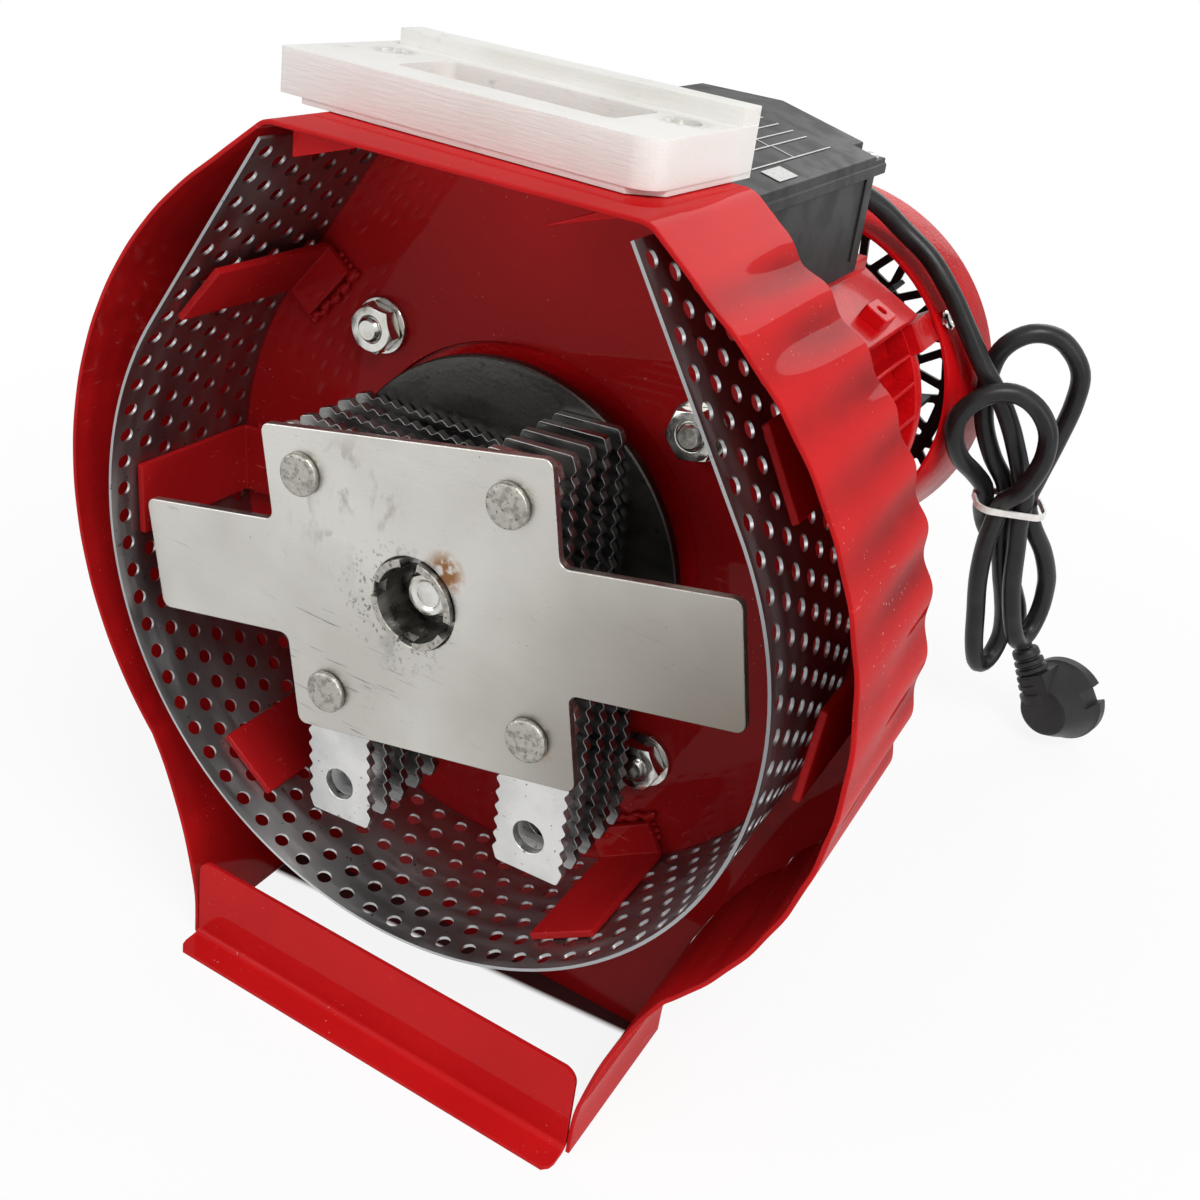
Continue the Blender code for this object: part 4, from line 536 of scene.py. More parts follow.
class Look:
    """A procedural material: one shader and the fields that vary it over the surface."""

    def __init__(self, name, colour, roughness, metallic=0.0):
        self.material = bpy.data.materials.new(name)
        self.material.use_nodes = True
        self.material.diffuse_color = (*colour, 1.0)
        self.tree = self.material.node_tree
        self.shader = self.tree.nodes["Principled BSDF"]
        self.shader.inputs["Metallic"].default_value = metallic
        self.shader.inputs["Base Color"].default_value = (*colour, 1.0)
        self.shader.inputs["Roughness"].default_value = roughness
        self.colour = (*colour, 1.0)
        self.roughness = roughness
        self.normal = None
        self.place = self.add("ShaderNodeTexCoord").outputs["Object"]

    def add(self, kind, **settings):
        made = self.tree.nodes.new(kind)
        for key, value in settings.items():
            setattr(made, key, value)
        return made

    def join(self, source, target):
        if hasattr(source, "is_output"):
            self.tree.links.new(source, target)
        else:
            target.default_value = source

    def set(self, **values):
        for key, value in values.items():
            self.shader.inputs[key.replace("_", " ")].default_value = value

    def ramp(self, value, start, end):
        """0 up to start, 1 from end on, and a straight rise between them."""
        spread = self.add("ShaderNodeMapRange")
        spread.inputs["From Min"].default_value = start
        spread.inputs["From Max"].default_value = end
        self.join(value, spread.inputs["Value"])
        return spread.outputs["Result"]

    def maths(self, operation, first, second):
        node = self.add("ShaderNodeMath", operation=operation)
        self.join(first, node.inputs[0])
        self.join(second, node.inputs[1])
        return node.outputs[0]

    def times(self, first, second):
        return self.maths("MULTIPLY", first, second)

    def parts(self):
        split = self.add("ShaderNodeSeparateXYZ")
        self.join(self.place, split.inputs[0])
        return split.outputs

    def field(self, scale, low, high, stretch=(1.0, 1.0, 1.0), detail=4.0, turn=(0.0, 0.0, 0.0)):
        """A noise, stretched and then spread from 0 at low to 1 at high."""
        mapping = self.add("ShaderNodeMapping")
        mapping.inputs["Scale"].default_value = stretch
        mapping.inputs["Rotation"].default_value = [math.radians(a) for a in turn]
        self.join(self.place, mapping.inputs["Vector"])
        noise = self.add("ShaderNodeTexNoise")
        noise.inputs["Scale"].default_value = scale
        noise.inputs["Detail"].default_value = detail
        self.join(mapping.outputs["Vector"], noise.inputs["Vector"])
        return self.ramp(noise.outputs["Fac"], low, high)

    def near(self, centre, reach, rough):
        """1 at a point of the piece, falling to 0 at its reach, with a ragged edge."""
        apart = self.add("ShaderNodeVectorMath", operation="DISTANCE")
        self.join(self.place, apart.inputs[0])
        apart.inputs[1].default_value = centre
        return self.times(self.ramp(apart.outputs["Value"], reach, 0.0), rough)

    def depth(self, start, end):
        """0 in front of start and 1 behind end, measured back from the open front."""
        return self.ramp(self.parts()["Y"], start, end)

    def tint(self, colour, mask):
        mix = self.add("ShaderNodeMix", data_type="RGBA")
        self.join(mask, mix.inputs["Factor"])
        self.join(self.colour, mix.inputs[6])
        self.join((*colour, 1.0), mix.inputs[7])
        self.colour = mix.outputs[2]
        self.join(self.colour, self.shader.inputs["Base Color"])

    def dull(self, roughness, mask):
        mix = self.add("ShaderNodeMix", data_type="FLOAT")
        self.join(mask, mix.inputs["Factor"])
        self.join(self.roughness, mix.inputs[2])
        self.join(roughness, mix.inputs[3])
        self.roughness = mix.outputs[0]
        self.join(self.roughness, self.shader.inputs["Roughness"])

    def dent(self, height, distance, strength=1.0):
        bump = self.add("ShaderNodeBump")
        bump.inputs["Strength"].default_value = strength
        bump.inputs["Distance"].default_value = distance
        self.join(height, bump.inputs["Height"])
        if self.normal:
            self.join(self.normal, bump.inputs["Normal"])
        self.normal = bump.outputs["Normal"]
        self.join(self.normal, self.shader.inputs["Normal"])


def shift(x, y, z):
    return Matrix.Translation((x, y, z))


def turn_about(axis, degrees):
    return Matrix.Rotation(math.radians(degrees), 4, axis)


def block_seat():
    """Where the feed block's own centre stands, turned a little on the casing."""
    return shift(BLOCK_X, BLOCK_Y, 0.0) @ turn_about("Z", BLOCK_SKEW)


def red_enamel(name="red_enamel", depth=1.0, groove_shade=0.0):
    """Red paint; depth below 1 and the groove mask both darken it as painted shade."""
    # A depth below 1 gives a darker copy of the paint for parts in shade: painted shade.
    look = Look(name, (0.56 * depth, 0.0110, 0.0125), 0.30)
    look.set(Coat_Weight=0.22, Coat_Roughness=0.04, Coat_IOR=1.40, Specular_IOR_Level=0.0)
    look.tint((0.47 * depth, 0.0075, 0.0090), look.field(18.0, 0.35, 0.75))
    if groove_shade:
        # Painted shade in the casing's pressed troughs and over its inner face, from the groove
        # mask.
        groove = look.add("ShaderNodeAttribute", attribute_name="groove").outputs["Fac"]
        ragged = look.times(groove, look.field(70.0, 0.15, 0.55, (1.0, 0.3, 1.0)))
        look.tint((0.17, 0.0035, 0.0045), look.times(ragged, groove_shade))
    scuffs = look.field(90.0, 0.66, 0.74, (1.0, 1.0, 5.0), 8.0)
    patches = look.field(14.0, 0.52, 0.62)
    look.tint((0.60, 0.10, 0.09), look.times(scuffs, patches))
    look.dull(0.45, look.times(scuffs, patches))
    specks = look.field(900.0, 0.73, 0.76, detail=1.0)
    look.tint((0.66, 0.30, 0.27), look.times(specks, look.field(25.0, 0.5, 0.7)))
    look.dent(look.field(420.0, 0.3, 0.7, detail=2.0), 0.00009, 0.35)
    look.dent(look.field(60.0, 0.2, 0.8, detail=2.0), 0.0009, 0.25)
    return look.material


def cast_enamel():
    look = Look("cast_enamel", (0.60, 0.0050, 0.0080), 0.32)
    look.set(Coat_Weight=0.25, Coat_Roughness=0.10, Coat_IOR=1.38, Specular_IOR_Level=0.06)
    look.tint((0.44, 0.003, 0.005), look.field(22.0, 0.4, 0.7))
    look.dent(look.field(700.0, 0.3, 0.7, detail=3.0), 0.00025, 0.5)
    look.dent(look.field(90.0, 0.3, 0.7, detail=2.0), 0.0008, 0.35)
    return look.material


def milled_nylon():
    look = Look("milled_nylon", (0.80, 0.79, 0.76), 0.42)
    look.set(Subsurface_Weight=0.25, Subsurface_Scale=0.003, Subsurface_Radius=(1.0, 0.95, 0.9))
    look.tint((0.72, 0.71, 0.67), look.field(26.0, 0.45, 0.75))
    grime = look.field(160.0, 0.60, 0.72, (1.0, 1.0, 1.8), 9.0)
    patches = look.field(30.0, 0.52, 0.66)
    look.tint((0.52, 0.51, 0.46), look.times(look.times(grime, patches), 0.7))
    for x, y in SCREW_PLACES:
        place = block_seat() @ Vector((x, y, TOP_HEIGHT + BLOCK_HEIGHT))
        ragged = look.field(500.0, 0.40, 0.55, detail=5.0)
        look.tint((0.22, 0.22, 0.20), look.near(place, 0.0085, ragged))
    look.dull(0.62, look.field(55.0, 0.45, 0.6))
    look.dent(look.field(500.0, 0.3, 0.7, (0.15, 2.5, 2.5), 3.0), 0.00012, 0.35)
    return look.material


def plate_steel():
    look = Look("plate_steel", (0.60, 0.585, 0.55), 0.34, 1.0)
    look.tint((0.48, 0.465, 0.43), look.field(16.0, 0.40, 0.66, detail=6.0))
    # Painted shade: the plate grows darker towards its right side.
    look.tint((0.15, 0.125, 0.10), look.near((0.125, 0.0, -0.030), 0.120, 1.25))
    brushed = look.field(60.0, 0.35, 0.7, (0.5, 1.0, 16.0), 6.0)
    look.dull(0.45, brushed)
    smear = look.times(
        look.field(130.0, 0.50, 0.60, (1.5, 1.0, 0.8), 9.0, (0.0, 35.0, 0.0)),
        look.near((-0.024, 0.0, 0.024), 0.030, look.field(60.0, 0.42, 0.56)),
    )
    look.tint((0.25, 0.24, 0.21), smear)
    look.dull(0.62, smear)
    stain = look.near(RUST_PLACE, 0.0085, look.field(330.0, 0.40, 0.54, detail=6.0))
    rust_mask = look.times(stain, 2.2)
    look.tint((0.30, 0.15, 0.065), rust_mask)
    look.dull(0.8, rust_mask)
    low_rust = look.near((0.049, 0.0, -0.030), 0.006, look.field(300.0, 0.45, 0.6))
    look.tint((0.36, 0.20, 0.11), look.times(low_rust, 1.2))
    soot = look.near((-0.006, 0.0, -0.004), 0.024, look.field(700.0, 0.58, 0.63, detail=6.0))
    look.tint((0.14, 0.13, 0.12), look.times(soot, 1.6))
    worn = look.field(13.0, 0.56, 0.62, detail=2.0)
    for turn, stretch in ((-38.0, 0.10), (62.0, 0.16), (8.0, 0.07)):
        scratches = look.field(360.0, 0.68, 0.70, (stretch, 1.0, 2.2), 3.0, (0.0, turn, 0.0))
        look.tint((0.22, 0.21, 0.20), look.times(look.times(scratches, worn), 0.8))
    patches = look.field(48.0, 0.68, 0.74, detail=8.0)
    patches = look.times(patches, look.field(170.0, 0.44, 0.56, detail=6.0))
    look.tint((0.34, 0.33, 0.31), look.times(patches, 0.7))
    specks = look.field(1100.0, 0.71, 0.73, detail=2.0)
    look.tint((0.16, 0.15, 0.14), look.times(specks, look.field(40.0, 0.47, 0.58)))
    look.dent(look.field(900.0, 0.3, 0.7, (0.3, 1.0, 3.0), 3.0), 0.00006, 0.4)
    look.dent(look.field(35.0, 0.3, 0.7, detail=2.0), 0.0006, 0.25)
    return look.material


def hammer_steel():
    look = Look("hammer_steel", (0.66, 0.655, 0.64), 0.27, 1.0)
    look.tint((0.48, 0.48, 0.48), look.field(40.0, 0.40, 0.65, detail=6.0))
    # Painted shade: the hammers behind the front ones are darker.
    look.tint((0.13, 0.13, 0.13), look.times(look.depth(0.0095, 0.0190), 0.80))
    look.dull(0.5, look.field(120.0, 0.4, 0.65, (0.4, 1.0, 3.0), 5.0))
    look.tint((0.13, 0.12, 0.11), look.field(500.0, 0.66, 0.72, detail=3.0))
    look.dent(look.field(800.0, 0.3, 0.7, (0.4, 1.0, 2.0), 3.0), 0.00008, 0.4)
    return look.material


def peened_steel():
    look = Look("peened_steel", (0.40, 0.385, 0.35), 0.36, 1.0)
    look.tint((0.24, 0.23, 0.205), look.field(520.0, 0.46, 0.64, detail=6.0))
    look.tint((0.12, 0.11, 0.10), look.field(900.0, 0.63, 0.68, detail=3.0))
    look.dull(0.52, look.field(300.0, 0.4, 0.6))
    look.dent(look.field(650.0, 0.3, 0.7, detail=4.0), 0.00022, 0.7)
    return look.material


def disc_steel():
    look = Look("disc_steel", (0.080, 0.079, 0.075), 0.42, 1.0)
    look.tint((0.115, 0.110, 0.100), look.field(24.0, 0.4, 0.7, detail=6.0))
    look.dull(0.30, look.field(50.0, 0.45, 0.65, (1.0, 1.0, 3.0)))
    look.tint((0.06, 0.055, 0.05), look.field(300.0, 0.62, 0.70, detail=4.0))
    look.dent(look.field(600.0, 0.3, 0.7, detail=3.0), 0.00008, 0.4)
    return look.material


def sieve_steel():
    look = Look("sieve_steel", (0.37, 0.38, 0.385), 0.34, 1.0)
    look.tint((0.25, 0.255, 0.265), look.field(14.0, 0.38, 0.66, (1.0, 3.0, 1.0), 5.0))
    # Painted light: the sieve is paler towards its low front edge.
    low_front = (-0.020, -0.005, -SIEVE_RADIUS)
    look.tint((0.70, 0.72, 0.71), look.near(low_front, 0.095, look.field(20.0, 0.20, 0.60)))
    look.dull(0.48, look.field(30.0, 0.4, 0.65, (1.0, 6.0, 1.0), 5.0))
    look.tint((0.16, 0.155, 0.15), look.field(420.0, 0.68, 0.73, detail=3.0))
    look.dent(look.field(70.0, 0.3, 0.7, detail=2.0), 0.0005, 0.3)
    return look.material


def bright_zinc():
    look = Look("bright_zinc", (0.66, 0.655, 0.63), 0.17, 1.0)
    look.tint((0.54, 0.52, 0.46), look.field(180.0, 0.42, 0.7, detail=4.0))
    look.dull(0.28, look.field(260.0, 0.45, 0.62))
    look.dent(look.field(500.0, 0.3, 0.7, detail=2.0), 0.00005, 0.4)
    return look.material


def bore_steel():
    look = Look("bore_steel", (0.30, 0.295, 0.28), 0.26, 1.0)
    look.tint((0.12, 0.115, 0.105), look.field(180.0, 0.42, 0.62, (1.0, 0.3, 1.0), 6.0))
    look.dull(0.45, look.field(240.0, 0.42, 0.6))
    look.dent(look.field(700.0, 0.3, 0.7, (1.0, 0.2, 1.0), 3.0), 0.0001, 0.5)
    return look.material


def moulded_black(name="moulded_black", shine=0.24):
    look = Look(name, (0.016, 0.0155, 0.016), 0.40)
    look.set(Specular_IOR_Level=shine)
    look.tint((0.028, 0.027, 0.027), look.field(30.0, 0.4, 0.7))
    look.dull(0.50, look.field(80.0, 0.45, 0.62))
    look.dent(look.field(1500.0, 0.3, 0.7, detail=2.0), 0.00008, 0.4)
    return look.material


def cord_vinyl():
    look = Look("cord_vinyl", (0.010, 0.010, 0.0105), 0.30)
    look.set(Specular_IOR_Level=0.28)
    look.tint((0.020, 0.020, 0.021), look.field(70.0, 0.42, 0.68))
    look.dull(0.40, look.field(140.0, 0.4, 0.65))
    look.dent(look.field(1200.0, 0.3, 0.7, detail=2.0), 0.00005, 0.35)
    return look.material


def tie_nylon():
    look = Look("tie_nylon", (0.84, 0.84, 0.81), 0.36)
    look.set(Subsurface_Weight=0.2, Subsurface_Scale=0.002)
    look.tint((0.72, 0.72, 0.68), look.field(220.0, 0.45, 0.7))
    look.dent(look.field(900.0, 0.3, 0.7), 0.00006, 0.4)
    return look.material


def nickel():
    look = Look("nickel", (0.70, 0.67, 0.60), 0.22, 1.0)
    look.dull(0.36, look.field(300.0, 0.45, 0.6))
    look.dent(look.field(900.0, 0.3, 0.7), 0.00005, 0.4)
    return look.material


def iron_core():
    look = Look("iron_core", (0.16, 0.15, 0.14), 0.5, 1.0)
    look.tint((0.10, 0.09, 0.08), look.field(60.0, 0.4, 0.7))
    look.dent(look.field(900.0, 0.3, 0.7, (0.2, 6.0, 0.2)), 0.0001, 0.5)
    return look.material


def print_white():
    look = Look("print_white", (0.62, 0.62, 0.60), 0.5)
    look.tint((0.45, 0.45, 0.44), look.field(900.0, 0.45, 0.7))
    return look.material


RED = red_enamel()
# The casing's red paint, with painted shade in its grooves.
CASING_RED = red_enamel("casing_enamel", groove_shade=0.95)
# A darker copy of the red paint: painted shade for the back plate, its brackets and welds.
SHADED_RED = red_enamel("shaded_red_enamel", 0.74)
CAST = cast_enamel()
NYLON = milled_nylon()
PLATE = plate_steel()
HAMMER = hammer_steel()
PEENED = peened_steel()
DISC = disc_steel()
SIEVE = sieve_steel()
ZINC = bright_zinc()
BORE = bore_steel()
BLACK = moulded_black()
BOX_BLACK = moulded_black("box_black", 0.12)
VINYL = cord_vinyl()
TIE = tie_nylon()
NICKEL = nickel()
CORE = iron_core()
PRINT = print_white()


def polar(radius, degrees):
    turn = math.radians(degrees)
    return radius * math.cos(turn), radius * math.sin(turn)


def turned_point(point, degrees):
    turn = math.radians(degrees)
    x, z = point
    cos, sin = math.cos(turn), math.sin(turn)
    return x * cos - z * sin, x * sin + z * cos


def circle(x, z, radius, sides):
    turns = [math.tau * i / sides for i in range(sides)]
    return [(x + radius * math.cos(t), z + radius * math.sin(t)) for t in turns]


def rounded(corners, radius, segments=5):
    """A closed outline with each corner rounded."""
    points = []
    count = len(corners)
    for i, corner in enumerate(corners):
        here = Vector(corner)
        before = (Vector(corners[i - 1]) - here).normalized()
        after = (Vector(corners[(i + 1) % count]) - here).normalized()
        half = before.angle(after) / 2.0
        reach = radius / math.tan(half)
        centre = here + (before + after).normalized() * radius / math.sin(half)
        first = here + before * reach - centre
        last = here + after * reach - centre
        for step in range(segments + 1):
            arm = first.lerp(last, step / segments).normalized() * radius
            points.append(tuple(centre + arm))
    return points


def smooth_points(route, step):
    """Evenly stepped points on a Catmull-Rom curve through the route."""
    fine = []
    ends = [route[0] * 2.0 - route[1]] + route + [route[-1] * 2.0 - route[-2]]
    for a, b, c, d in zip(ends, ends[1:], ends[2:], ends[3:]):
        for i in range(24):
            t = i / 24.0
            curve = (2.0 * a - 5.0 * b + 4.0 * c - d) * t * t
            curve += (3.0 * b - a - 3.0 * c + d) * t * t * t
            fine.append(0.5 * (2.0 * b + (c - a) * t + curve))
    fine.append(route[-1])
    travelled = [0.0]
    for a, b in zip(fine, fine[1:]):
        travelled.append(travelled[-1] + (b - a).length)
    count = max(2, round(travelled[-1] / step))
    points = []
    at = 0
    for i in range(count + 1):
        goal = travelled[-1] * i / count
        while at < len(fine) - 2 and travelled[at + 1] < goal:
            at += 1
        span = travelled[at + 1] - travelled[at]
        points.append(fine[at].lerp(fine[at + 1], (goal - travelled[at]) / span))
    return points, travelled[-1]


def rect(x0, x1, y0, y1):
    return [(x0, y0), (x1, y0), (x1, y1), (x0, y1)]


def quarter(first=0):
    """Sine and versine over a quarter turn in six steps, for a fold or a rounded edge."""
    turns = [math.radians(15.0 * i) for i in range(first, 7)]
    return [(math.sin(t), 1.0 - math.cos(t)) for t in turns]


def lifted(profile, start):
    """A turned profile moved along its axis."""
    return [(radius, start + along) for radius, along in profile]


def new_object(name, data):
    obj = bpy.data.objects.new(name, data)
    bpy.context.scene.collection.objects.link(obj)
    return obj


def add_piece(name, bm, look, body, nodes=(), bevel=0.0, sharp=SHARP_ANGLE):
    """A piece from a bmesh drawn about the rotor's axis, dressed and set on its body."""
    bmesh.ops.recalc_face_normals(bm, faces=bm.faces[:])
    mesh = bpy.data.meshes.new(name)
    bm.to_mesh(mesh)
    bm.free()
    mesh.shade_smooth()
    mesh.set_sharp_from_angle(angle=math.radians(sharp))
    mesh.materials.append(look)
    obj = new_object(name, mesh)
    if bevel:
        soften(obj, bevel)
    obj.location = AXIS
    return settle(obj, body, nodes)


def soften(obj, width, segments=2):
    """Rounds the sharp edges and keeps the flats flat."""
    edge = obj.modifiers.new("edges", "BEVEL")
    edge.width = width
    edge.segments = segments
    edge.limit_method = "ANGLE"
    edge.angle_limit = math.radians(BEVEL_ANGLE)
    edge.use_clamp_overlap = True
    flow = obj.modifiers.new("flow", "WEIGHTED_NORMAL")
    flow.keep_sharp = False
    flow.weight = 80


def settle(obj, body, nodes=()):
    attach(obj, body)
    if nodes:
        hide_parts(*nodes)
    return obj


def plate(outline, holes, start, end, along="Y"):
    """A flat outline with holes, made solid from start to end along one axis."""

    def place(u, v, s):
        return (u, s, v) if along == "Y" else (u, v, s)

    bm = bmesh.new()
    edges = []
    for loop in [outline] + list(holes):
        verts = [bm.verts.new(place(u, v, start)) for u, v in loop]
        edges += [bm.edges.new((verts[i - 1], verts[i])) for i in range(len(verts))]
    bmesh.ops.triangle_fill(bm, use_beauty=True, edges=edges)
    flat = math.radians(0.3)
    bmesh.ops.dissolve_limit(bm, angle_limit=flat, verts=bm.verts[:], edges=bm.edges[:])
    made = bmesh.ops.extrude_face_region(bm, geom=bm.faces[:])
    moved = [v for v in made["geom"] if isinstance(v, bmesh.types.BMVert)]
    bmesh.ops.translate(bm, verts=moved, vec=Vector(place(0.0, 0.0, end - start)))
    return bm


def box(x_range, y_range, z_range):
    return plate(rect(*x_range, *y_range), [], *z_range, along="Z")


def turned(profile, sides):
    """A closed profile of (radius, distance along Y) pairs, turned about the Y axis."""
    bm = bmesh.new()
    rings = []
    turns = [math.tau * i / sides for i in range(sides)]
    for radius, y in profile:
        around = turns if radius else turns[:1]
        points = [(radius * math.cos(t), y, radius * math.sin(t)) for t in around]
        rings.append([bm.verts.new(point) for point in points])
    for first, second in zip(rings, rings[1:] + rings[:1]):
        for i in range(sides):
            k = (i + 1) % sides
            corners = [first[i % len(first)], first[k % len(first)]]
            corners += [second[k % len(second)], second[i % len(second)]]
            corners = list(dict.fromkeys(corners))
            if len(corners) > 2:
                bm.faces.new(corners)
    return bm


def grid(rows):
    """An open surface through rows of points, all of one length."""
    bm = bmesh.new()
    verts = [[bm.verts.new(p) for p in row] for row in rows]
    for low, high in zip(verts, verts[1:]):
        for i in range(len(low) - 1):
            bm.faces.new((low[i], low[i + 1], high[i + 1], high[i]))
    return bm


def thicken(bm, thickness, outward):
    """Gives an open surface its thickness; outward tells which way a point's face looks."""
    bm.normal_update()
    score = sum(face.normal.dot(outward(face.calc_center_median())) for face in bm.faces)
    if score < 0.0:
        bmesh.ops.reverse_faces(bm, faces=bm.faces[:])
        bm.normal_update()
    upper = {v: v.co.copy() for v in bm.verts}
    normals = {v: v.normal.copy() for v in bm.verts}
    rim = [e for e in bm.edges if e.is_boundary]
    faces = bm.faces[:]
    lower = {v: bm.verts.new(upper[v] - normals[v] * thickness) for v in upper}
    for face in faces:
        bm.faces.new([lower[v] for v in reversed(face.verts)])
    for edge in rim:
        loop = edge.link_loops[0]
        a, b = loop.vert, loop.link_loop_next.vert
        bm.faces.new((b, a, lower[a], lower[b]))


def from_axis(point):
    return Vector((point.x, 0.0, point.z))


def fillet(before, corner, after, radius, segments):
    """The rounded corner of one bend in an open outline."""
    here = Vector(corner)
    first = (Vector(before) - here).normalized()
    second = (Vector(after) - here).normalized()
    half = first.angle(second) / 2.0
    centre = here + (first + second).normalized() * radius / math.sin(half)
    start = here + first * radius / math.tan(half) - centre
    end = here + second * radius / math.tan(half) - centre
    points = []
    for step in range(segments + 1):
        points.append(tuple(centre + start.lerp(end, step / segments).normalized() * radius))
    return points


def ripple(travelled, length):
    """How far a hand-bent wave dips below the drum, from 0 to 1."""
    wander = 0.5 * math.sin(travelled * 31.0) + 0.3 * math.sin(travelled * 67.0 + 1.0)
    wave = 0.5 - 0.5 * math.cos(math.tau * travelled / RIPPLE_PITCH + wander)
    depth = 0.85 + 0.15 * math.sin(travelled * 83.0 + 2.0)
    ends = min(1.0, travelled / RIPPLE_PITCH, (length - travelled) / (0.8 * RIPPLE_PITCH))
    return max(0.0, ends) * depth * wave


def ripple_reach(share):
    """The waves are shallow at the front edge and full at the back plate."""
    ease = share * share * (3.0 - 2.0 * share)
    return RIPPLE_FRONT_SHARE + (1.0 - RIPPLE_FRONT_SHARE) * ease


def casing_side(height):
    """One side of the casing from its foot up to the top corner."""
    reach = math.hypot(TOP_HALF_WIDTH, TOP_HEIGHT - DRUM_RISE)
    corner = math.atan2(TOP_HEIGHT - DRUM_RISE, TOP_HALF_WIDTH)
    start = corner - math.acos(DRUM_RADIUS / reach)
    low = math.radians(ARC_END_ANGLE)
    leg = [
        Vector((sx * LEG_HALF_WIDTH, 0.0, -sz * AXIS.z))
        for sx, sz in zip(LEG_X_SHARES, LEG_Z_SHARES)
    ]
    first = Vector((DRUM_RADIUS * math.cos(low), 0.0, DRUM_RADIUS * math.sin(low) + DRUM_RISE))
    leg_line, _ = smooth_points(leg + [first], 0.004)
    arc_length = (start - low) * DRUM_RADIUS
    straight = math.sqrt(reach**2 - DRUM_RADIUS**2)
    length = arc_length + straight - TOP_CORNER
    steps = round(length / 0.00125)
    line = [(p.x, p.z, 0.0, 0.0) for p in leg_line[:-1]]
    for i in range(steps + 1):
        travelled = length * i / steps
        dip = height * ripple(travelled, length)
        turn = min(low + travelled / DRUM_RADIUS, start)
        beyond = max(0.0, travelled - arc_length)
        x = DRUM_RADIUS * math.cos(turn) - beyond * math.sin(turn)
        z = DRUM_RADIUS * math.sin(turn) + beyond * math.cos(turn) + DRUM_RISE
        line.append((x, z, -dip * math.cos(turn), -dip * math.sin(turn)))
    tangent = (DRUM_RADIUS * math.cos(start), DRUM_RADIUS * math.sin(start) + DRUM_RISE)
    corner = fillet(tangent, (TOP_HALF_WIDTH, TOP_HEIGHT), (0.0, TOP_HEIGHT), TOP_CORNER, 10)
    return line + [(x, z, 0.0, 0.0) for x, z in corner]


def casing_line():
    """The casing's outside from the right foot over the top to the left foot.

    Each point is (x, z) with the way (x, z) that the waves push it at the back plate.
    """
    right = casing_side(RIPPLE_HEIGHT)
    left = casing_side(LEFT_RIPPLE_HEIGHT)
    first, last = right[-1][0], -left[-1][0]
    top = [(first + (last - first) * i / 80.0, TOP_HEIGHT, 0.0, 0.0) for i in range(1, 80)]
    return right + top + [(-x, z, -dx, dz) for x, z, dx, dz in reversed(left)]


def add_casing():
    """The rippled drum with its flat top, both legs, the feed opening and two gussets."""
    line = casing_line()
    front = BLOCK_Y + WINDOW_Y[0]
    depths = [*CASING_ROWS, front, CASING_ROW_BEHIND, front + INLET_DEPTH, DRUM_DEPTH]
    skewed = range(len(CASING_ROWS), len(depths) - 1)
    slope = math.tan(math.radians(BLOCK_SKEW))
    window = (BLOCK_X + WINDOW_X[0], BLOCK_X + WINDOW_X[1])
    rows, grooves = [], []
    for x, z, push_x, push_z in line:
        flat = z > TOP_HEIGHT - GAP and abs(x) < TOP_HALF_WIDTH
        lean = (x - BLOCK_X) * slope if flat else 0.0
        dip = math.hypot(push_x, push_z) / RIPPLE_HEIGHT
        row = []
        for i, y in enumerate(depths):
            reach = ripple_reach(y / DRUM_DEPTH)
            row.append((x + push_x * reach, y + (lean if i in skewed else 0.0), z + push_z * reach))
            grooves.append(dip * math.sqrt(reach))
        rows.append(row)
    bm = grid(rows)
    # The groove mask, read by the casing's paint, paints shade into the troughs.
    layer = bm.verts.layers.float.new("groove")
    for vert, groove in zip(bm.verts, grooves):
        vert[layer] = groove
    cut = []
    for face in bm.faces:
        middle = face.calc_center_median()
        inside = front < middle.y - (middle.x - BLOCK_X) * slope < front + INLET_DEPTH
        if inside and middle.z > TOP_HEIGHT - GAP and window[0] < middle.x < window[1]:
            cut.append(face)
    bmesh.ops.delete(bm, geom=cut, context="FACES")
    outer = len(bm.verts)
    thicken(bm, SHEET, from_axis)
    # The inner face gets a fixed share of the mask: painted shade inside the drum.
    for vert in bm.verts[outer:]:
        vert[layer] = INSIDE_SHADE
    add_piece("casing_shell", bm, CASING_RED, "frame", ["casing_wrap"], SHEET_BEVEL)
    root = TOP_HEIGHT - SHEET + GUSSET_LAP
    tip = TOP_HEIGHT - SHEET - GUSSET_DROP
    edge = TOP_HALF_WIDTH - GUSSET_INSET
    left = [(-edge, tip), (GUSSET_WIDTH - edge, root), (-edge, root)]
    right = [(edge - GUSSET_WIDTH, tip), (edge, root), (edge - GUSSET_SLIP, root)]
    for name, corners in (("gusset_left", left), ("gusset_right", right)):
        tab = plate(corners, [], GUSSET_FRONT, GUSSET_FRONT + BRACKET_SHEET)
        add_piece(name, tab, RED, "frame", bevel=0.0005)
    return line


def offset_inward(line, distance):
    """The same outline a little way in from its edge."""
    moved = []
    for i, point in enumerate(line):
        before = Vector(line[max(i - 1, 0)])
        after = Vector(line[min(i + 1, len(line) - 1)])
        along = (after - before).normalized()
        normal = Vector((-along.y, along.x))
        if normal.dot(-Vector(point)) < 0:
            normal = -normal
        moved.append(tuple(Vector(point) + normal * distance))
    return moved


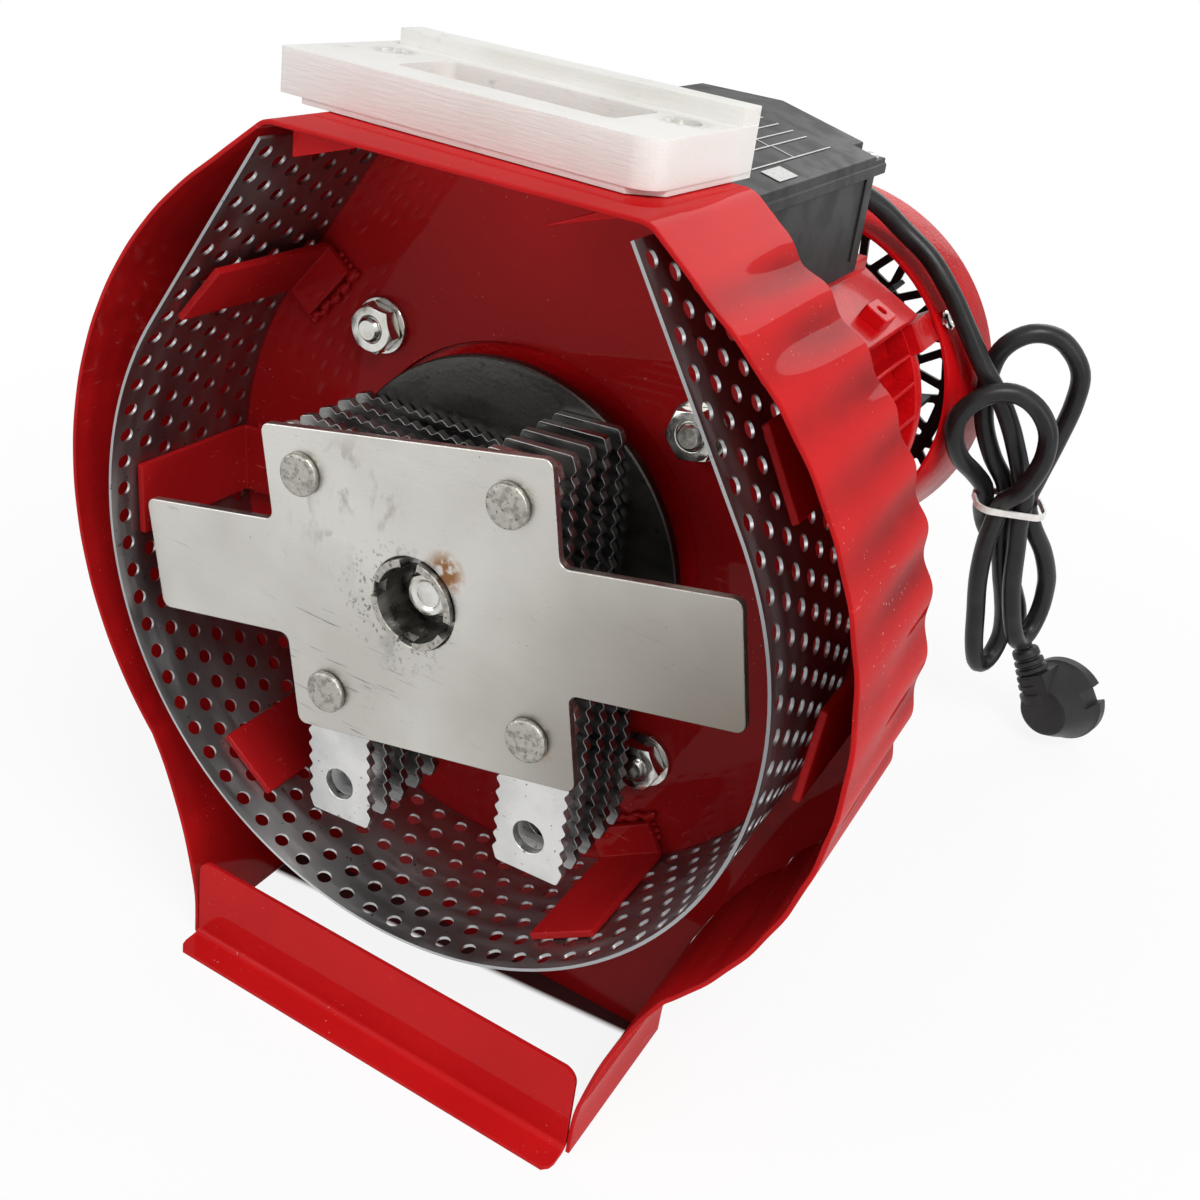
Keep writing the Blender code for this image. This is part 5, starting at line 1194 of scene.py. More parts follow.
def add_back_plate(line):
    """The drum's back with its motor opening, and the six brackets that hold the sieve."""
    reach = ripple_reach(BACK_PLATE_FRONT / DRUM_DEPTH)
    outline = [(x + dx * reach, z + dz * reach) for x, z, dx, dz in line[::3]]
    outline = offset_inward(outline, SHEET + SEAM)
    outline[0] = (outline[0][0], -AXIS.z)
    outline[-1] = (outline[-1][0], -AXIS.z)
    holes = [circle(0.0, 0.0, BACK_HOLE_RADIUS, 72)]
    for degrees in STUD_ANGLES:
        holes.append(circle(*polar(STUD_CIRCLE_RADIUS, degrees), STUD_RADIUS + STUD_PLAY, 20))
    bm = plate(outline, holes, BACK_PLATE_FRONT, BACK_PLATE_FRONT + SHEET)
    # Painted shade: the back plate takes the darker copy of the red paint.
    add_piece("rear_panel", bm, SHADED_RED, "frame", ["back_plate"], 0.0003)
    inside = SIEVE_RADIUS - SIEVE_SHEET / 2.0 - 2.0 * GAP
    radius = math.sqrt(inside**2 - (INNER_BRACKET_WIDTH / 2.0) ** 2) - BRACKET_SHEET / 2.0
    inner = (radius, INNER_BRACKET_WIDTH, -INNER_FOOT)
    outer = (OUTER_BRACKET_RADIUS, OUTER_BRACKET_WIDTH, OUTER_FOOT)
    for kind, places, sizes in (("sieve", INNER_BRACKETS, inner), ("outer", OUTER_BRACKETS, outer)):
        for i, (degrees, front) in enumerate(places):
            add_bracket(f"{kind}_bracket_{i + 1}", degrees, front, *sizes)


def add_bracket(name, degrees, front, radius, width, foot):
    """A folded strip: a blade that runs forward and a foot welded to the back plate."""
    half = width / 2.0
    back = BACK_PLATE_FRONT - BRACKET_SHEET / 2.0
    side = math.copysign(1.0, foot)
    fold = back - BRACKET_BEND
    section = [(front + (fold - front) * i / 4.0, 0.0) for i in range(4)]
    section += [(fold + BRACKET_BEND * s, side * BRACKET_BEND * v) for s, v in quarter()]
    section.append((back, foot))
    tip = BRACKET_TIP if foot > 0.0 else 0.0
    rows = []
    for k in range(9):
        across = -half + width * k / 8.0
        slant = tip * (half - across) / width
        rows.append([(across, y, reach) for y, reach in section])
        rows[-1][0] = (across, front + slant, 0.0)
    bm = grid(rows)
    thicken(bm, BRACKET_SHEET, lambda p: Vector((0.0, 0.0, -side)))
    bmesh.ops.translate(bm, verts=bm.verts[:], vec=(0.0, 0.0, -side * BRACKET_SHEET / 2.0))
    x, z = polar(radius, degrees)
    place = shift(x, 0.0, z) @ turn_about("Y", 90.0 - degrees)
    bm.transform(place)
    # Painted shade: the bracket takes the darker copy of the red paint.
    add_piece(name, bm, SHADED_RED, "frame", bevel=0.0006)
    add_weld_marks(name, place, half, foot, back - BRACKET_SHEET / 2.0)


def add_weld_marks(name, place, half, foot, face):
    """Spot welds pressed into the foot and an uneven bead round its free edges."""
    marks = bmesh.new()

    def mark(shape, across, proud, reach):
        merge(marks, shape, place @ shift(across, face + proud, reach))

    for row in range(2):
        for k in range(3):
            across = half * (SPOT_FIRST + SPOT_STEP * k + SPOT_SLIP * row)
            mark(turned(CRATER, 16), across, 0.0, foot * (SPOT_REACH + SPOT_ROW * row))
    for k in range(BEAD_STOPS):
        share = k / (BEAD_STOPS - 1.0)
        swell = 0.5 + 0.5 * math.sin(9.0 * share * math.pi + 40.0 * half)
        across = half * (2.0 * share - 1.0) * BEAD_LENGTH
        reach = foot * BEAD_REACH + BEAD_DRIFT * math.sin(23.0 * share)
        mark(blob(BEAD_SIZE + BEAD_SWELL * swell * swell), across, BEAD_PROUD, reach)
    for k in range(4):
        for end in (-1.0, 1.0):
            size = SIDE_SIZE + SIDE_SWELL * math.sin(2.1 * k + end) ** 2
            mark(blob(size), end * half, SIDE_PROUD, foot * (SIDE_REACH + SIDE_STEP * k))
    # Painted shade: the welds take the darker copy of the red paint.
    add_piece(f"{name}_welds", marks, SHADED_RED, "frame", sharp=75.0)


def blob(size):
    """A drop of weld metal, flattened against the sheet behind it."""
    bm = bmesh.new()
    bmesh.ops.create_icosphere(bm, subdivisions=2, radius=size)
    bmesh.ops.scale(bm, vec=(1.35, 0.85, 1.0), verts=bm.verts[:])
    return bm


def merge(target, source, place):
    """Moves a small shape to its place and adds it to a larger one."""
    source.transform(place)
    known = [target.verts.new(v.co) for v in source.verts]
    source.verts.index_update()
    for face in source.faces:
        target.faces.new([known[v.index] for v in face.verts])
    source.free()


def add_front_rail():
    """The folded foot rail: a tread on the floor and a web with rounded corners."""
    half = LEG_HALF_WIDTH - SHEET - GAP
    floor = -AXIS.z
    tread = floor + SHEET
    rows = []
    for k in range(5):
        y = -RAIL_FOOT + (RAIL_FOOT - RAIL_BEND) * k / 4.0
        cut = max(0.0, RAIL_CHAMFER - (y + RAIL_FOOT))
        rows.append((y, tread, half - cut))
    rows += [(-RAIL_BEND + RAIL_BEND * s, tread + RAIL_BEND * v, half) for s, v in quarter(1)]
    top = RAIL_HEIGHT - RAIL_CORNER
    rows.append((0.0, floor + top / 2.0, half))
    rows += [(0.0, floor + top + RAIL_CORNER * s, half - RAIL_CORNER * v) for s, v in quarter()]
    bm = grid(
        [[(-w + 2.0 * w * k / RAIL_CELLS, y, z) for k in range(RAIL_CELLS + 1)] for y, z, w in rows]
    )
    thicken(bm, SHEET, lambda p: Vector((0.0, -1.0, 1.0)))
    add_piece("foot_rail", bm, RED, "frame", ["front_rail"], SHEET_BEVEL)


def carve(obj, name, bm, operation):
    """Joins or cuts another shape, which is kept out of the render."""
    mesh = bpy.data.meshes.new(name)
    bmesh.ops.recalc_face_normals(bm, faces=bm.faces[:])
    bm.to_mesh(mesh)
    bm.free()
    other = new_object(name, mesh)
    other.location = AXIS
    other.hide_render = True
    other.hide_viewport = True
    change = obj.modifiers.new(name, "BOOLEAN")
    change.operation = operation
    change.solver = "EXACT"
    change.object = other


def bake(obj):
    """Keeps what the modifiers made and drops them with their helpers."""
    bpy.context.view_layer.update()
    graph = bpy.context.evaluated_depsgraph_get()
    mesh = bpy.data.meshes.new_from_object(obj.evaluated_get(graph))
    helpers = [m.object for m in obj.modifiers if m.type == "BOOLEAN"]
    obj.modifiers.clear()
    obj.data = mesh
    for other in helpers:
        bpy.data.objects.remove(other)
    mesh.shade_smooth()
    mesh.set_sharp_from_angle(angle=math.radians(SHARP_ANGLE))


def add_feed_block():
    """The nylon block: its stepped foot, window, rear ridge and two sunk screws."""
    seat = TOP_HEIGHT + GAP
    top = TOP_HEIGHT + BLOCK_HEIGHT
    half, deep = BLOCK_LENGTH / 2.0, BLOCK_DEPTH / 2.0
    corners = rect(-half, half, -deep, deep)
    small = rounded(corners, BLOCK_EDGE, 4)
    big = rounded(corners, BLOCK_CORNER, 10)
    outline = small[:5] + big[11:22] + small[10:]
    window = rounded(rect(*WINDOW_X, *WINDOW_Y), WINDOW_CORNER, 6)
    bm = plate(outline, [window], seat + BLOCK_STEP_HEIGHT, top, along="Z")
    bm.transform(block_seat())
    obj = add_piece("nylon_block", bm, NYLON, "frame", ["feed_block"])
    left, right = BLOCK_STEP_WIDTH - half, half - GAP
    front, back = GAP - deep, deep - GAP
    step = [(left, front), (right - BLOCK_CORNER, front), (right, front + BLOCK_CORNER)]
    step += [(right, back), (left, back)]
    foot = plate(step, [window], seat, seat + 2.0 * BLOCK_STEP_HEIGHT, along="Z")
    foot.transform(block_seat())
    carve(obj, "block_foot", foot, "UNION")
    ridge = box(
        (BLOCK_RAIL_INSET - half, right),
        (deep - BLOCK_RAIL_DEPTH, back),
        (top - BLOCK_STEP_HEIGHT, top + BLOCK_RAIL_HEIGHT),
    )
    ridge.transform(block_seat())
    carve(obj, "block_ridge", ridge, "UNION")
    head = top - SCREW_HEAD_SUNK
    for k, (x, y) in enumerate(SCREW_PLACES):
        upright = block_seat() @ shift(x, y, 0.0) @ turn_about("X", 90.0)
        sink = turned(lifted(SINK_FLOOR, head) + lifted(SINK_RIM, top), 28)
        sink.transform(upright)
        carve(obj, f"block_sink_{k}", sink, "DIFFERENCE")
        name = ("block_screw_left", "block_screw_right")[k]
        screw = turned(lifted(BLOCK_SCREW, head), 24)
        screw.transform(upright)
        add_piece(f"{name}_head", screw, ZINC, "frame", [name])
    bake(obj)
    soften(obj, 0.0005)


def sieve_line():
    """Returns a function from arc length to (x, z) on the sieve, and the full length."""
    end = Vector(SIEVE_END)
    start = math.atan2(end.y, end.x) - math.acos(SIEVE_RADIUS / end.length)
    straight = math.sqrt(end.length**2 - SIEVE_RADIUS**2)
    sweep = math.pi + 2.0 * start
    arc = sweep * SIEVE_RADIUS

    def at(s):
        beyond = max(0.0, straight - s, s - straight - arc)
        turn = start - min(max(s - straight, 0.0), arc) / SIEVE_RADIUS
        side = 1.0 if s < straight else -1.0
        x = SIEVE_RADIUS * math.cos(turn) - side * beyond * math.sin(turn)
        z = SIEVE_RADIUS * math.sin(turn) + side * beyond * math.cos(turn)
        return x, z

    return at, arc + 2.0 * straight


def add_sieve():
    """The perforated band, cell by cell, each cell with its own round hole."""
    at, length = sieve_line()
    width = BACK_PLATE_FRONT - GAP - SIEVE_FRONT
    column = HOLE_PITCH * math.sqrt(3.0) / 2.0
    margin = (width - HOLE_COLUMNS * column) / 2.0
    rows = math.floor(length / HOLE_PITCH)
    start = (length - rows * HOLE_PITCH) / 2.0
    bm = bmesh.new()
    known = {}

    def vert(s, d):
        key = (round(s * 1e6), round(d * 1e6))
        if key not in known:
            x, z = at(s)
            known[key] = bm.verts.new((x, SIEVE_FRONT + d, z))
        return known[key]

    def plain(s0, s1, d0, d1):
        if s1 - s0 > 1e-6 and d1 - d0 > 1e-6:
            bm.faces.new([vert(s0, d0), vert(s1, d0), vert(s1, d1), vert(s0, d1)])

    half = HOLE_PITCH / 2.0
    stops = [0.0] + [start + half * i for i in range(2 * rows + 1)] + [length]
    for s0, s1 in zip(stops, stops[1:]):
        plain(s0, s1, 0.0, margin)
        plain(s0, s1, width - margin, width)
    for k in range(HOLE_COLUMNS):
        d0 = margin + column * k
        odd = k % 2
        plain(0.0, start, d0, d0 + column)
        plain(length - start, length, d0, d0 + column)
        if odd:
            plain(start, start + half, d0, d0 + column)
            plain(length - start - half, length - start, d0, d0 + column)
        for i in range(rows - odd):
            s0 = start + half * odd + HOLE_PITCH * i
            hole = circle(s0 + half, d0 + column / 2.0, HOLE_RADIUS, 16)
            ring = [vert(s, d) for s, d in hole]
            edge = [vert(s0 + HOLE_PITCH * u, d0 + column * v) for u, v in CELL_EDGE]
            for n in range(8):
                a, b, c = ring[2 * n], ring[2 * n + 1], ring[(2 * n + 2) % 16]
                bm.faces.new([edge[n], edge[(n + 1) % 8], c, b, a])
    thicken(bm, SIEVE_SHEET, from_axis)
    add_piece("perforated_sieve", bm, SIEVE, "frame", ["sieve"], sharp=40.0)


def add_rotor_plate():
    """The cross in front, turned by the rotor's tilt."""
    w, h = CROSS_WIDTH / 2.0, CROSS_HEIGHT / 2.0
    reach, arm = CROSS_REACH / 2.0, CROSS_ARM / 2.0
    cross = [(reach, -arm), (reach, arm), (w, arm), (w, h)]
    cross += [(-w, h), (-w, arm), (-reach, arm), (-reach, -arm)]
    cross += [(-w, -arm), (-w, -h), (w, -h), (w, -arm)]
    outline = rounded(cross, CROSS_CORNER, 6)
    hole = circle(0.0, 0.0, HUB_RADIUS + GAP, 48)
    bm = plate(outline, [hole], PLATE_FRONT, PLATE_FRONT + PLATE_SHEET)
    bm.transform(turn_about("Y", -ROTOR_TILT))
    add_piece("cross_plate", bm, PLATE, "rotor", ["rotor_front_plate"], 0.0005)


def add_rotor_disc():
    bore = HUB_RADIUS + GAP
    back = DISC_FRONT + DISC_SHEET
    rim = DISC_RADIUS - DISC_EDGE
    profile = [(bore, DISC_FRONT), (rim, DISC_FRONT), (DISC_RADIUS, DISC_FRONT + DISC_EDGE)]
    profile += [(DISC_RADIUS, back - DISC_EDGE), (rim, back), (bore, back)]
    add_piece("rear_disc", turned(profile, 96), DISC, "rotor", ["rotor_rear_disc"])


def hammer_front(index):
    return HAMMER_FRONT + index * HAMMER_PITCH


def pin_profile():
    """Peened head, shank with a collar between each two hammers, and the riveted end."""
    head = PLATE_FRONT - GAP
    seat = PLATE_FRONT + PLATE_SHEET + GAP
    profile = lifted(PIN_HEAD, head - PIN_HEAD_HEIGHT)
    profile += [(PIN_HEAD_RADIUS, head - 0.0003), (PIN_HEAD_RADIUS - 0.0003, head)]
    profile += [(PIN_RADIUS, head), (PIN_RADIUS, seat), (PIN_COLLAR_RADIUS, seat)]
    profile += [(PIN_COLLAR_RADIUS, HAMMER_FRONT - GAP), (PIN_RADIUS, HAMMER_FRONT - GAP)]
    for index in range(HAMMERS_IN_STACK - 1):
        start = hammer_front(index) + HAMMER_SHEET + GAP
        end = hammer_front(index + 1) - GAP
        profile += [(PIN_RADIUS, start), (PIN_COLLAR_RADIUS, start)]
        profile += [(PIN_COLLAR_RADIUS, end), (PIN_RADIUS, end)]
    rear = DISC_FRONT + DISC_SHEET + GAP
    profile += [(PIN_RADIUS, rear), (PIN_HEAD_RADIUS, rear)]
    return profile + [(PIN_HEAD_RADIUS, rear + PIN_HEAD_HEIGHT), (0.0, rear + PIN_HEAD_HEIGHT)]


def hammer_outline():
    """A flat bar with a toothed edge on both long sides, its first hole at zero."""
    beyond = (HAMMER_LENGTH - HAMMER_HOLE_SPACING) / 2.0
    teeth = math.floor(HAMMER_LENGTH / TOOTH_PITCH)
    start = -beyond + (HAMMER_LENGTH - teeth * TOOTH_PITCH) / 2.0
    crest, root = HAMMER_WIDTH / 2.0, HAMMER_WIDTH / 2.0 - TOOTH_DEPTH
    flat = TOOTH_PITCH * TOOTH_FLAT
    lower = [(-beyond, -root + 0.0008), (-beyond + 0.0005, -root)]

    def blunt(x, z, turn):
        return [(x - flat, z + turn), (x, z), (x + flat, z + turn)]

    for i in range(teeth):
        lower += blunt(start + (i + 0.5) * TOOTH_PITCH, -crest, TOOTH_BLUNT)
        if i < teeth - 1:
            lower += blunt(start + (i + 1) * TOOTH_PITCH, -root, -TOOTH_BLUNT)
    end = HAMMER_LENGTH - beyond
    lower += [(end - 0.0005, -root), (end, -root + 0.0008)]
    return lower + [(x, -z) for x, z in reversed(lower)]


def add_stacks():
    """Each pin with its stack of hammers, every hammer on its own body."""
    holes = [circle(x, 0.0, HAMMER_HOLE_RADIUS, 32) for x in (0.0, HAMMER_HOLE_SPACING)]
    for name, side_x, side_z, rest in STACKS:
        x, z = turned_point((side_x * PIN_X, side_z * PIN_Z), ROTOR_TILT)
        pin = turned(pin_profile(), 48)
        bmesh.ops.translate(pin, verts=pin.verts[:], vec=(x, 0.0, z))
        nodes = [f"pin_{name}"]
        add_piece(f"rivet_{name}", pin, PEENED, "rotor", nodes, sharp=50.0)
        for index in range(HAMMERS_IN_STACK):
            label = f"{name}_{index + 1}"
            node = f"hammer_{label}"
            bar = plate(hammer_outline(), holes, 0.0, HAMMER_SHEET)
            bar.transform(shift(x, hammer_front(index), z) @ turn_about("Y", -rest))
            add_piece(f"beater_{label}", bar, HAMMER, node, [node], 0.0003)


def add_hub():
    """The hub with its castellated front ring, the bolt head in it and the bolt's washer."""
    front = PLATE_FRONT - HUB_PROUD
    bolt_back = BOLT_FRONT + BOLT_HEIGHT
    floor = bolt_back + BOLT_WASHER_SHEET + GAP + HUB_STEP
    bore = SHAFT_RADIUS + GAP
    half = math.degrees(math.asin(HUB_NOTCH / 2.0 / HUB_RADIUS))
    bm = bmesh.new()
    rings = []
    for i in range(HUB_SIDES):
        degrees = 360.0 * i / HUB_SIDES
        notched = any(abs((degrees - a + 180.0) % 360.0 - 180.0) < half for a in HUB_NOTCH_ANGLES)
        top = front + (HUB_NOTCH_DEPTH if notched else 0.0)
        profile = [(HUB_BORE_RADIUS + HUB_EDGE, top), (HUB_RADIUS - HUB_EDGE, top)]
        profile += [(HUB_RADIUS, top + HUB_EDGE), (HUB_RADIUS, HUB_BACK), (bore, HUB_BACK)]
        profile += [(bore, floor), (HUB_BORE_RADIUS, floor), (HUB_BORE_RADIUS, top + HUB_EDGE)]
        ring = [(*polar(radius, degrees), y) for radius, y in profile]
        rings.append([bm.verts.new((x, y, z)) for x, z, y in ring])
    for i, second in enumerate(rings):
        first = rings[i - 1]
        for k in range(len(first)):
            bm.faces.new((first[k - 1], first[k], second[k], second[k - 1]))
    obj = add_piece("hub_tube", bm, BORE, "rotor", ["rotor_hub"])
    obj.data.materials.append(PEENED)
    for face in obj.data.polygons:
        if face.center.y < front + HUB_NOTCH_DEPTH / 2.0 and abs(face.normal.y) > 0.2:
            face.material_index = 1
    head = nut_shape(BOLT_ACROSS, BOLT_FRONT, bolt_back, 0.0, BOLT_DISH)
    add_piece("bolt_head", head, ZINC, "rotor", ["hub_bolt"], 0.0002)
    washer = turned(lifted(BOLT_WASHER, bolt_back), 48)
    add_piece("bolt_flange", washer, ZINC, "rotor")


def nut_shape(across, front, back, bore, dish=0.0):
    """A hexagon with its corners turned down, and a dished face where a bolt head has one."""
    bm = bmesh.new()
    crown = across / 2.0 * NUT_CROWN
    rings = []
    for i in range(NUT_SIDES):
        turn = math.tau * i / NUT_SIDES
        lobe = (turn + math.pi / 6.0) % (math.pi / 3.0) - math.pi / 6.0
        hexagon = across / 2.0 / math.cos(lobe)
        drop = max(0.0, hexagon - crown) * NUT_DROP
        ring = []
        if bore:
            ring += [(bore, front + NUT_EDGE), (bore + NUT_EDGE, front)]
        if dish:
            ring += [(crown * 0.66, front + dish), (crown * 0.76, front + dish * 0.2)]
            ring += [(crown * 0.84, front)]
        ring += [(crown, front), (hexagon, front + drop), (hexagon, back - drop), (crown, back)]
        if bore:
            ring += [(bore, back)]
        rings.append([bm.verts.new((r * math.cos(turn), y, r * math.sin(turn))) for r, y in ring])
    count = len(rings[0])
    for first, second in zip(rings, rings[1:] + rings[:1]):
        for k in range(count if bore else count - 1):
            m = (k + 1) % count
            bm.faces.new((first[k], first[m], second[m], second[k]))
    if not bore:
        bm.faces.new([ring[0] for ring in rings])
        bm.faces.new([ring[-1] for ring in reversed(rings)])
    return bm


def thread_profile(radius, start, end, pitch):
    profile = [(0.0, start), (radius - 0.0010, start), (radius - 0.0002, start + 0.0007)]
    y = start + 0.0010
    while y + pitch < end:
        profile += [(radius, y), (radius - 0.00045, y + pitch / 2.0)]
        y += pitch
    return profile + [(radius, end), (0.0, end)]


def add_nuts():
    """Four threaded studs of the motor's flange, each with its washer and nut."""
    seat = BACK_PLATE_FRONT - GAP
    front = seat - NUT_WASHER_SHEET
    stud_span = (BACK_PLATE_FRONT - STUD_PROUD, FLANGE_FRONT + FLANGE_STEP)
    for i, degrees in enumerate(STUD_ANGLES):
        x, z = polar(STUD_CIRCLE_RADIUS, degrees)
        place = shift(x, 0.0, z)
        nut = nut_shape(NUT_ACROSS, front - NUT_HEIGHT, front, STUD_RADIUS)
        nut.transform(place @ turn_about("Y", NUT_TURN + NUT_TURN_STEP * i))
        nodes = [f"flange_nut_{i + 1}"]
        add_piece(f"hex_nut_{i + 1}", nut, ZINC, "frame", nodes, 0.00015)
        ring = lifted(NUT_WASHER, front) + [(NUT_WASHER_RADIUS, seat), (NUT_WASHER[0][0], seat)]
        washer = turned(ring, 48)
        washer.transform(place)
        add_piece(f"nut_washer_{i + 1}", washer, ZINC, "frame")
        stud = turned(thread_profile(STUD_RADIUS, *stud_span, THREAD_PITCH), 32)
        stud.transform(place)
        add_piece(f"flange_stud_{i + 1}", stud, ZINC, "frame", sharp=20.0)


def frame_outline():
    """The motor frame's section: barrel, cooling fins, side pad and box pedestal."""
    half = math.degrees(math.asin(FIN_THICKNESS / 2.0 / BARREL_RADIUS))
    tip = math.degrees(math.asin(FIN_THICKNESS * FIN_TAPER / FIN_RADIUS))
    low, foot = BARREL_RADIUS, BARREL_RADIUS + FIN_FOOT
    fin = ((low, -2.0 * half), (foot, -half), (FIN_RADIUS, -tip))
    fin += ((FIN_RADIUS, tip), (foot, half), (low, 2.0 * half))
    pieces = []
    for turn in sorted((a + 90) % 360 - 90 for a in FIN_ANGLES):
        pieces.append((turn, [polar(radius, turn + beside) for radius, beside in fin]))
    pad_end = turned_point((PAD_DISTANCE, -PAD_REACH), PAD_ANGLE)
    pad_under = turned_point((PAD_DISTANCE - PAD_THICKNESS, -PAD_REACH), PAD_ANGLE)
    slope = math.tan(math.radians(PAD_ANGLE - 90.0))
    pad_meets = pad_end[1] + (PEDESTAL_HALF_WIDTH - pad_end[0]) * slope
    wall_foot = math.sqrt(BARREL_RADIUS**2 - PEDESTAL_HALF_WIDTH**2)
    pad_root = turned_point((PAD_DISTANCE - PAD_THICKNESS, -PAD_REACH / 3.0), PAD_ANGLE)
    pad = [pad_root, pad_under, pad_end, (PEDESTAL_HALF_WIDTH, pad_meets)]
    pad += [(PEDESTAL_HALF_WIDTH, PEDESTAL_TOP), (-PEDESTAL_HALF_WIDTH, PEDESTAL_TOP)]
    pieces.append((45.0, pad + [(-PEDESTAL_HALF_WIDTH, wall_foot)]))
    pieces.sort(key=lambda piece: piece[0])
    return [point for _, points in pieces for point in points]


def add_motor():
    """The motor from its flange to its cowl."""
    back = FLANGE_FRONT + FLANGE_THICKNESS
    step = FLANGE_FRONT + FLANGE_STEP
    rim = FLANGE_RADIUS - FLANGE_EDGE
    boss = back + BEARING_SEAT_DEPTH
    flange = [(SEAT_RADIUS, boss), (BEARING_RADIUS, boss), (BEARING_RADIUS, back)]
    flange += [(FLANGE_BORE, back), (FLANGE_BORE, step), (BARREL_BORE - 0.0005, step)]
    flange += [(BARREL_BORE, FLANGE_FRONT), (rim, FLANGE_FRONT)]
    flange += [(FLANGE_RADIUS, FLANGE_FRONT + FLANGE_EDGE), (FLANGE_RADIUS, back - FLANGE_EDGE)]
    flange += [(rim, back), (SEAT_RADIUS, back)]
    add_piece("flange_casting", turned(flange, 96), CAST, "frame", ["motor_flange"])
    bore = circle(0.0, 0.0, BARREL_BORE, 64)
    barrel = plate(frame_outline(), [bore], back + GAP, BARREL_BACK)
    obj = add_piece("frame_casting", barrel, CAST, "frame", ["motor_frame"], 0.0006)
    obj.modifiers["edges"].segments = 3
    add_pad_boss()
    add_rear_shield()
    add_fan()
    add_cowl()


def add_pad_boss():
    """A square boss with a tapped hole on the frame's side pad."""
    outline = rounded(rect(-BOSS_WIDTH, BOSS_WIDTH, -BOSS_LENGTH, BOSS_LENGTH), 0.0012, 3)
    bm = plate(outline, [circle(0.0, 0.0, BOSS_BORE, 20)], 0.0, BOSS_HEIGHT, along="Z")
    x, z = turned_point((PAD_DISTANCE - GAP, -PAD_REACH + BOSS_INSET), PAD_ANGLE)
    bm.transform(shift(x, PAD_BOSS_Y, z) @ turn_about("Y", 90.0 - PAD_ANGLE))
    add_piece("pad_boss", bm, CAST, "frame", bevel=0.0007)


def add_rear_shield():
    """The rear shield with its bearing seat and the two lugs that carry the cowl."""
    back = BARREL_BACK + GAP
    rear = back + SHIELD_THICKNESS
    bore = SHAFT_RADIUS + SHAFT_PLAY
    seat = back + SHIELD_THICKNESS / 2.0
    boss = back - BEARING_SEAT_DEPTH
    profile = [(bore, seat), (BEARING_RADIUS + GAP, seat), (BEARING_RADIUS + GAP, boss)]
    profile += [(SEAT_RADIUS - 0.0002, boss), (SEAT_RADIUS - 0.0002, back)]
    profile += [(FIN_RADIUS - 0.0006, back), (FIN_RADIUS, back + 0.0010)]
    profile += [(FIN_RADIUS, rear - SHIELD_EDGE), (FIN_RADIUS - SHIELD_EDGE, rear), (bore, rear)]
    bm = turned(profile, 80)
    obj = add_piece("shield_casting", bm, CAST, "frame", ["rear_shield"])
    for i, degrees in enumerate(LUG_ANGLES):
        lug = box(
            (LUG_ROOT, COWL_FRONT_RADIUS - COWL_SHEET - 2.0 * GAP),
            (back + GAP, rear + LUG_LENGTH),
            (-LUG_HALF_WIDTH, LUG_HALF_WIDTH),
        )
        lug.transform(turn_about("Y", -degrees))
        carve(obj, f"shield_lug_{i}", lug, "UNION")
    bake(obj)
    soften(obj, 0.0005)


def add_fan():
    """The cooling fan: a hub and straight blades."""
    bore = SHAFT_RADIUS + GAP
    back = FAN_FRONT + FAN_DEPTH
    hub = [(bore, FAN_FRONT), (FAN_HUB_RADIUS - 0.0010, FAN_FRONT)]
    hub += [(FAN_HUB_RADIUS, FAN_FRONT + 0.0010), (FAN_HUB_RADIUS, back), (bore, back)]
    bm = turned(hub, 48)
    obj = add_piece("fan_moulding", bm, BLACK, "rotor", ["cooling_fan"])
    root = FAN_HUB_RADIUS - BLADE_LAP
    front, rear = FAN_FRONT + BLADE_INSET, back - BLADE_INSET
    outline = [(root, front), (FAN_RADIUS - BLADE_CUT[0], front)]
    outline += [(FAN_RADIUS, FAN_FRONT + BLADE_CUT[1]), (FAN_RADIUS, rear), (root, rear)]
    for i in range(FAN_BLADES):
        blade = plate(outline, [], -BLADE_HALF_SHEET, BLADE_HALF_SHEET, along="Z")
        blade.transform(Matrix.Rotation(math.tau * i / FAN_BLADES, 4, "Y"))
        carve(obj, f"fan_blade_{i}", blade, "UNION")
    bake(obj)
    soften(obj, 0.0004)


def grille_holes():
    """Rounded triangles between the grille's rings, pointing in and out by turns."""
    holes = []
    for inner, outer, cells in zip(GRILLE_RINGS, GRILLE_RINGS[1:], GRILLE_CELLS):
        low, high = inner + GRILLE_BAR / 2.0, outer - GRILLE_BAR / 2.0
        half = 180.0 / cells
        bar = math.degrees(GRILLE_BAR * 0.62 / ((low + high) / 2.0))
        for i in range(2 * cells):
            flip = i % 2
            middle = 360.0 * (i // 2 + 0.5 * flip) / cells
            wide, tip = (high, low) if flip else (low, high)
            base = max(half - 1.5 * bar * (low + high) / 2.0 / wide, half * 0.45)
            ends = ((wide, -base), (wide, base), (tip, 0.12 * half), (tip, -0.12 * half))
            corners = [polar(radius, middle + beside) for radius, beside in ends]
            if not flip:
                corners.reverse()
            holes.append(rounded(corners, GRILLE_CORNER, 2))
    return holes


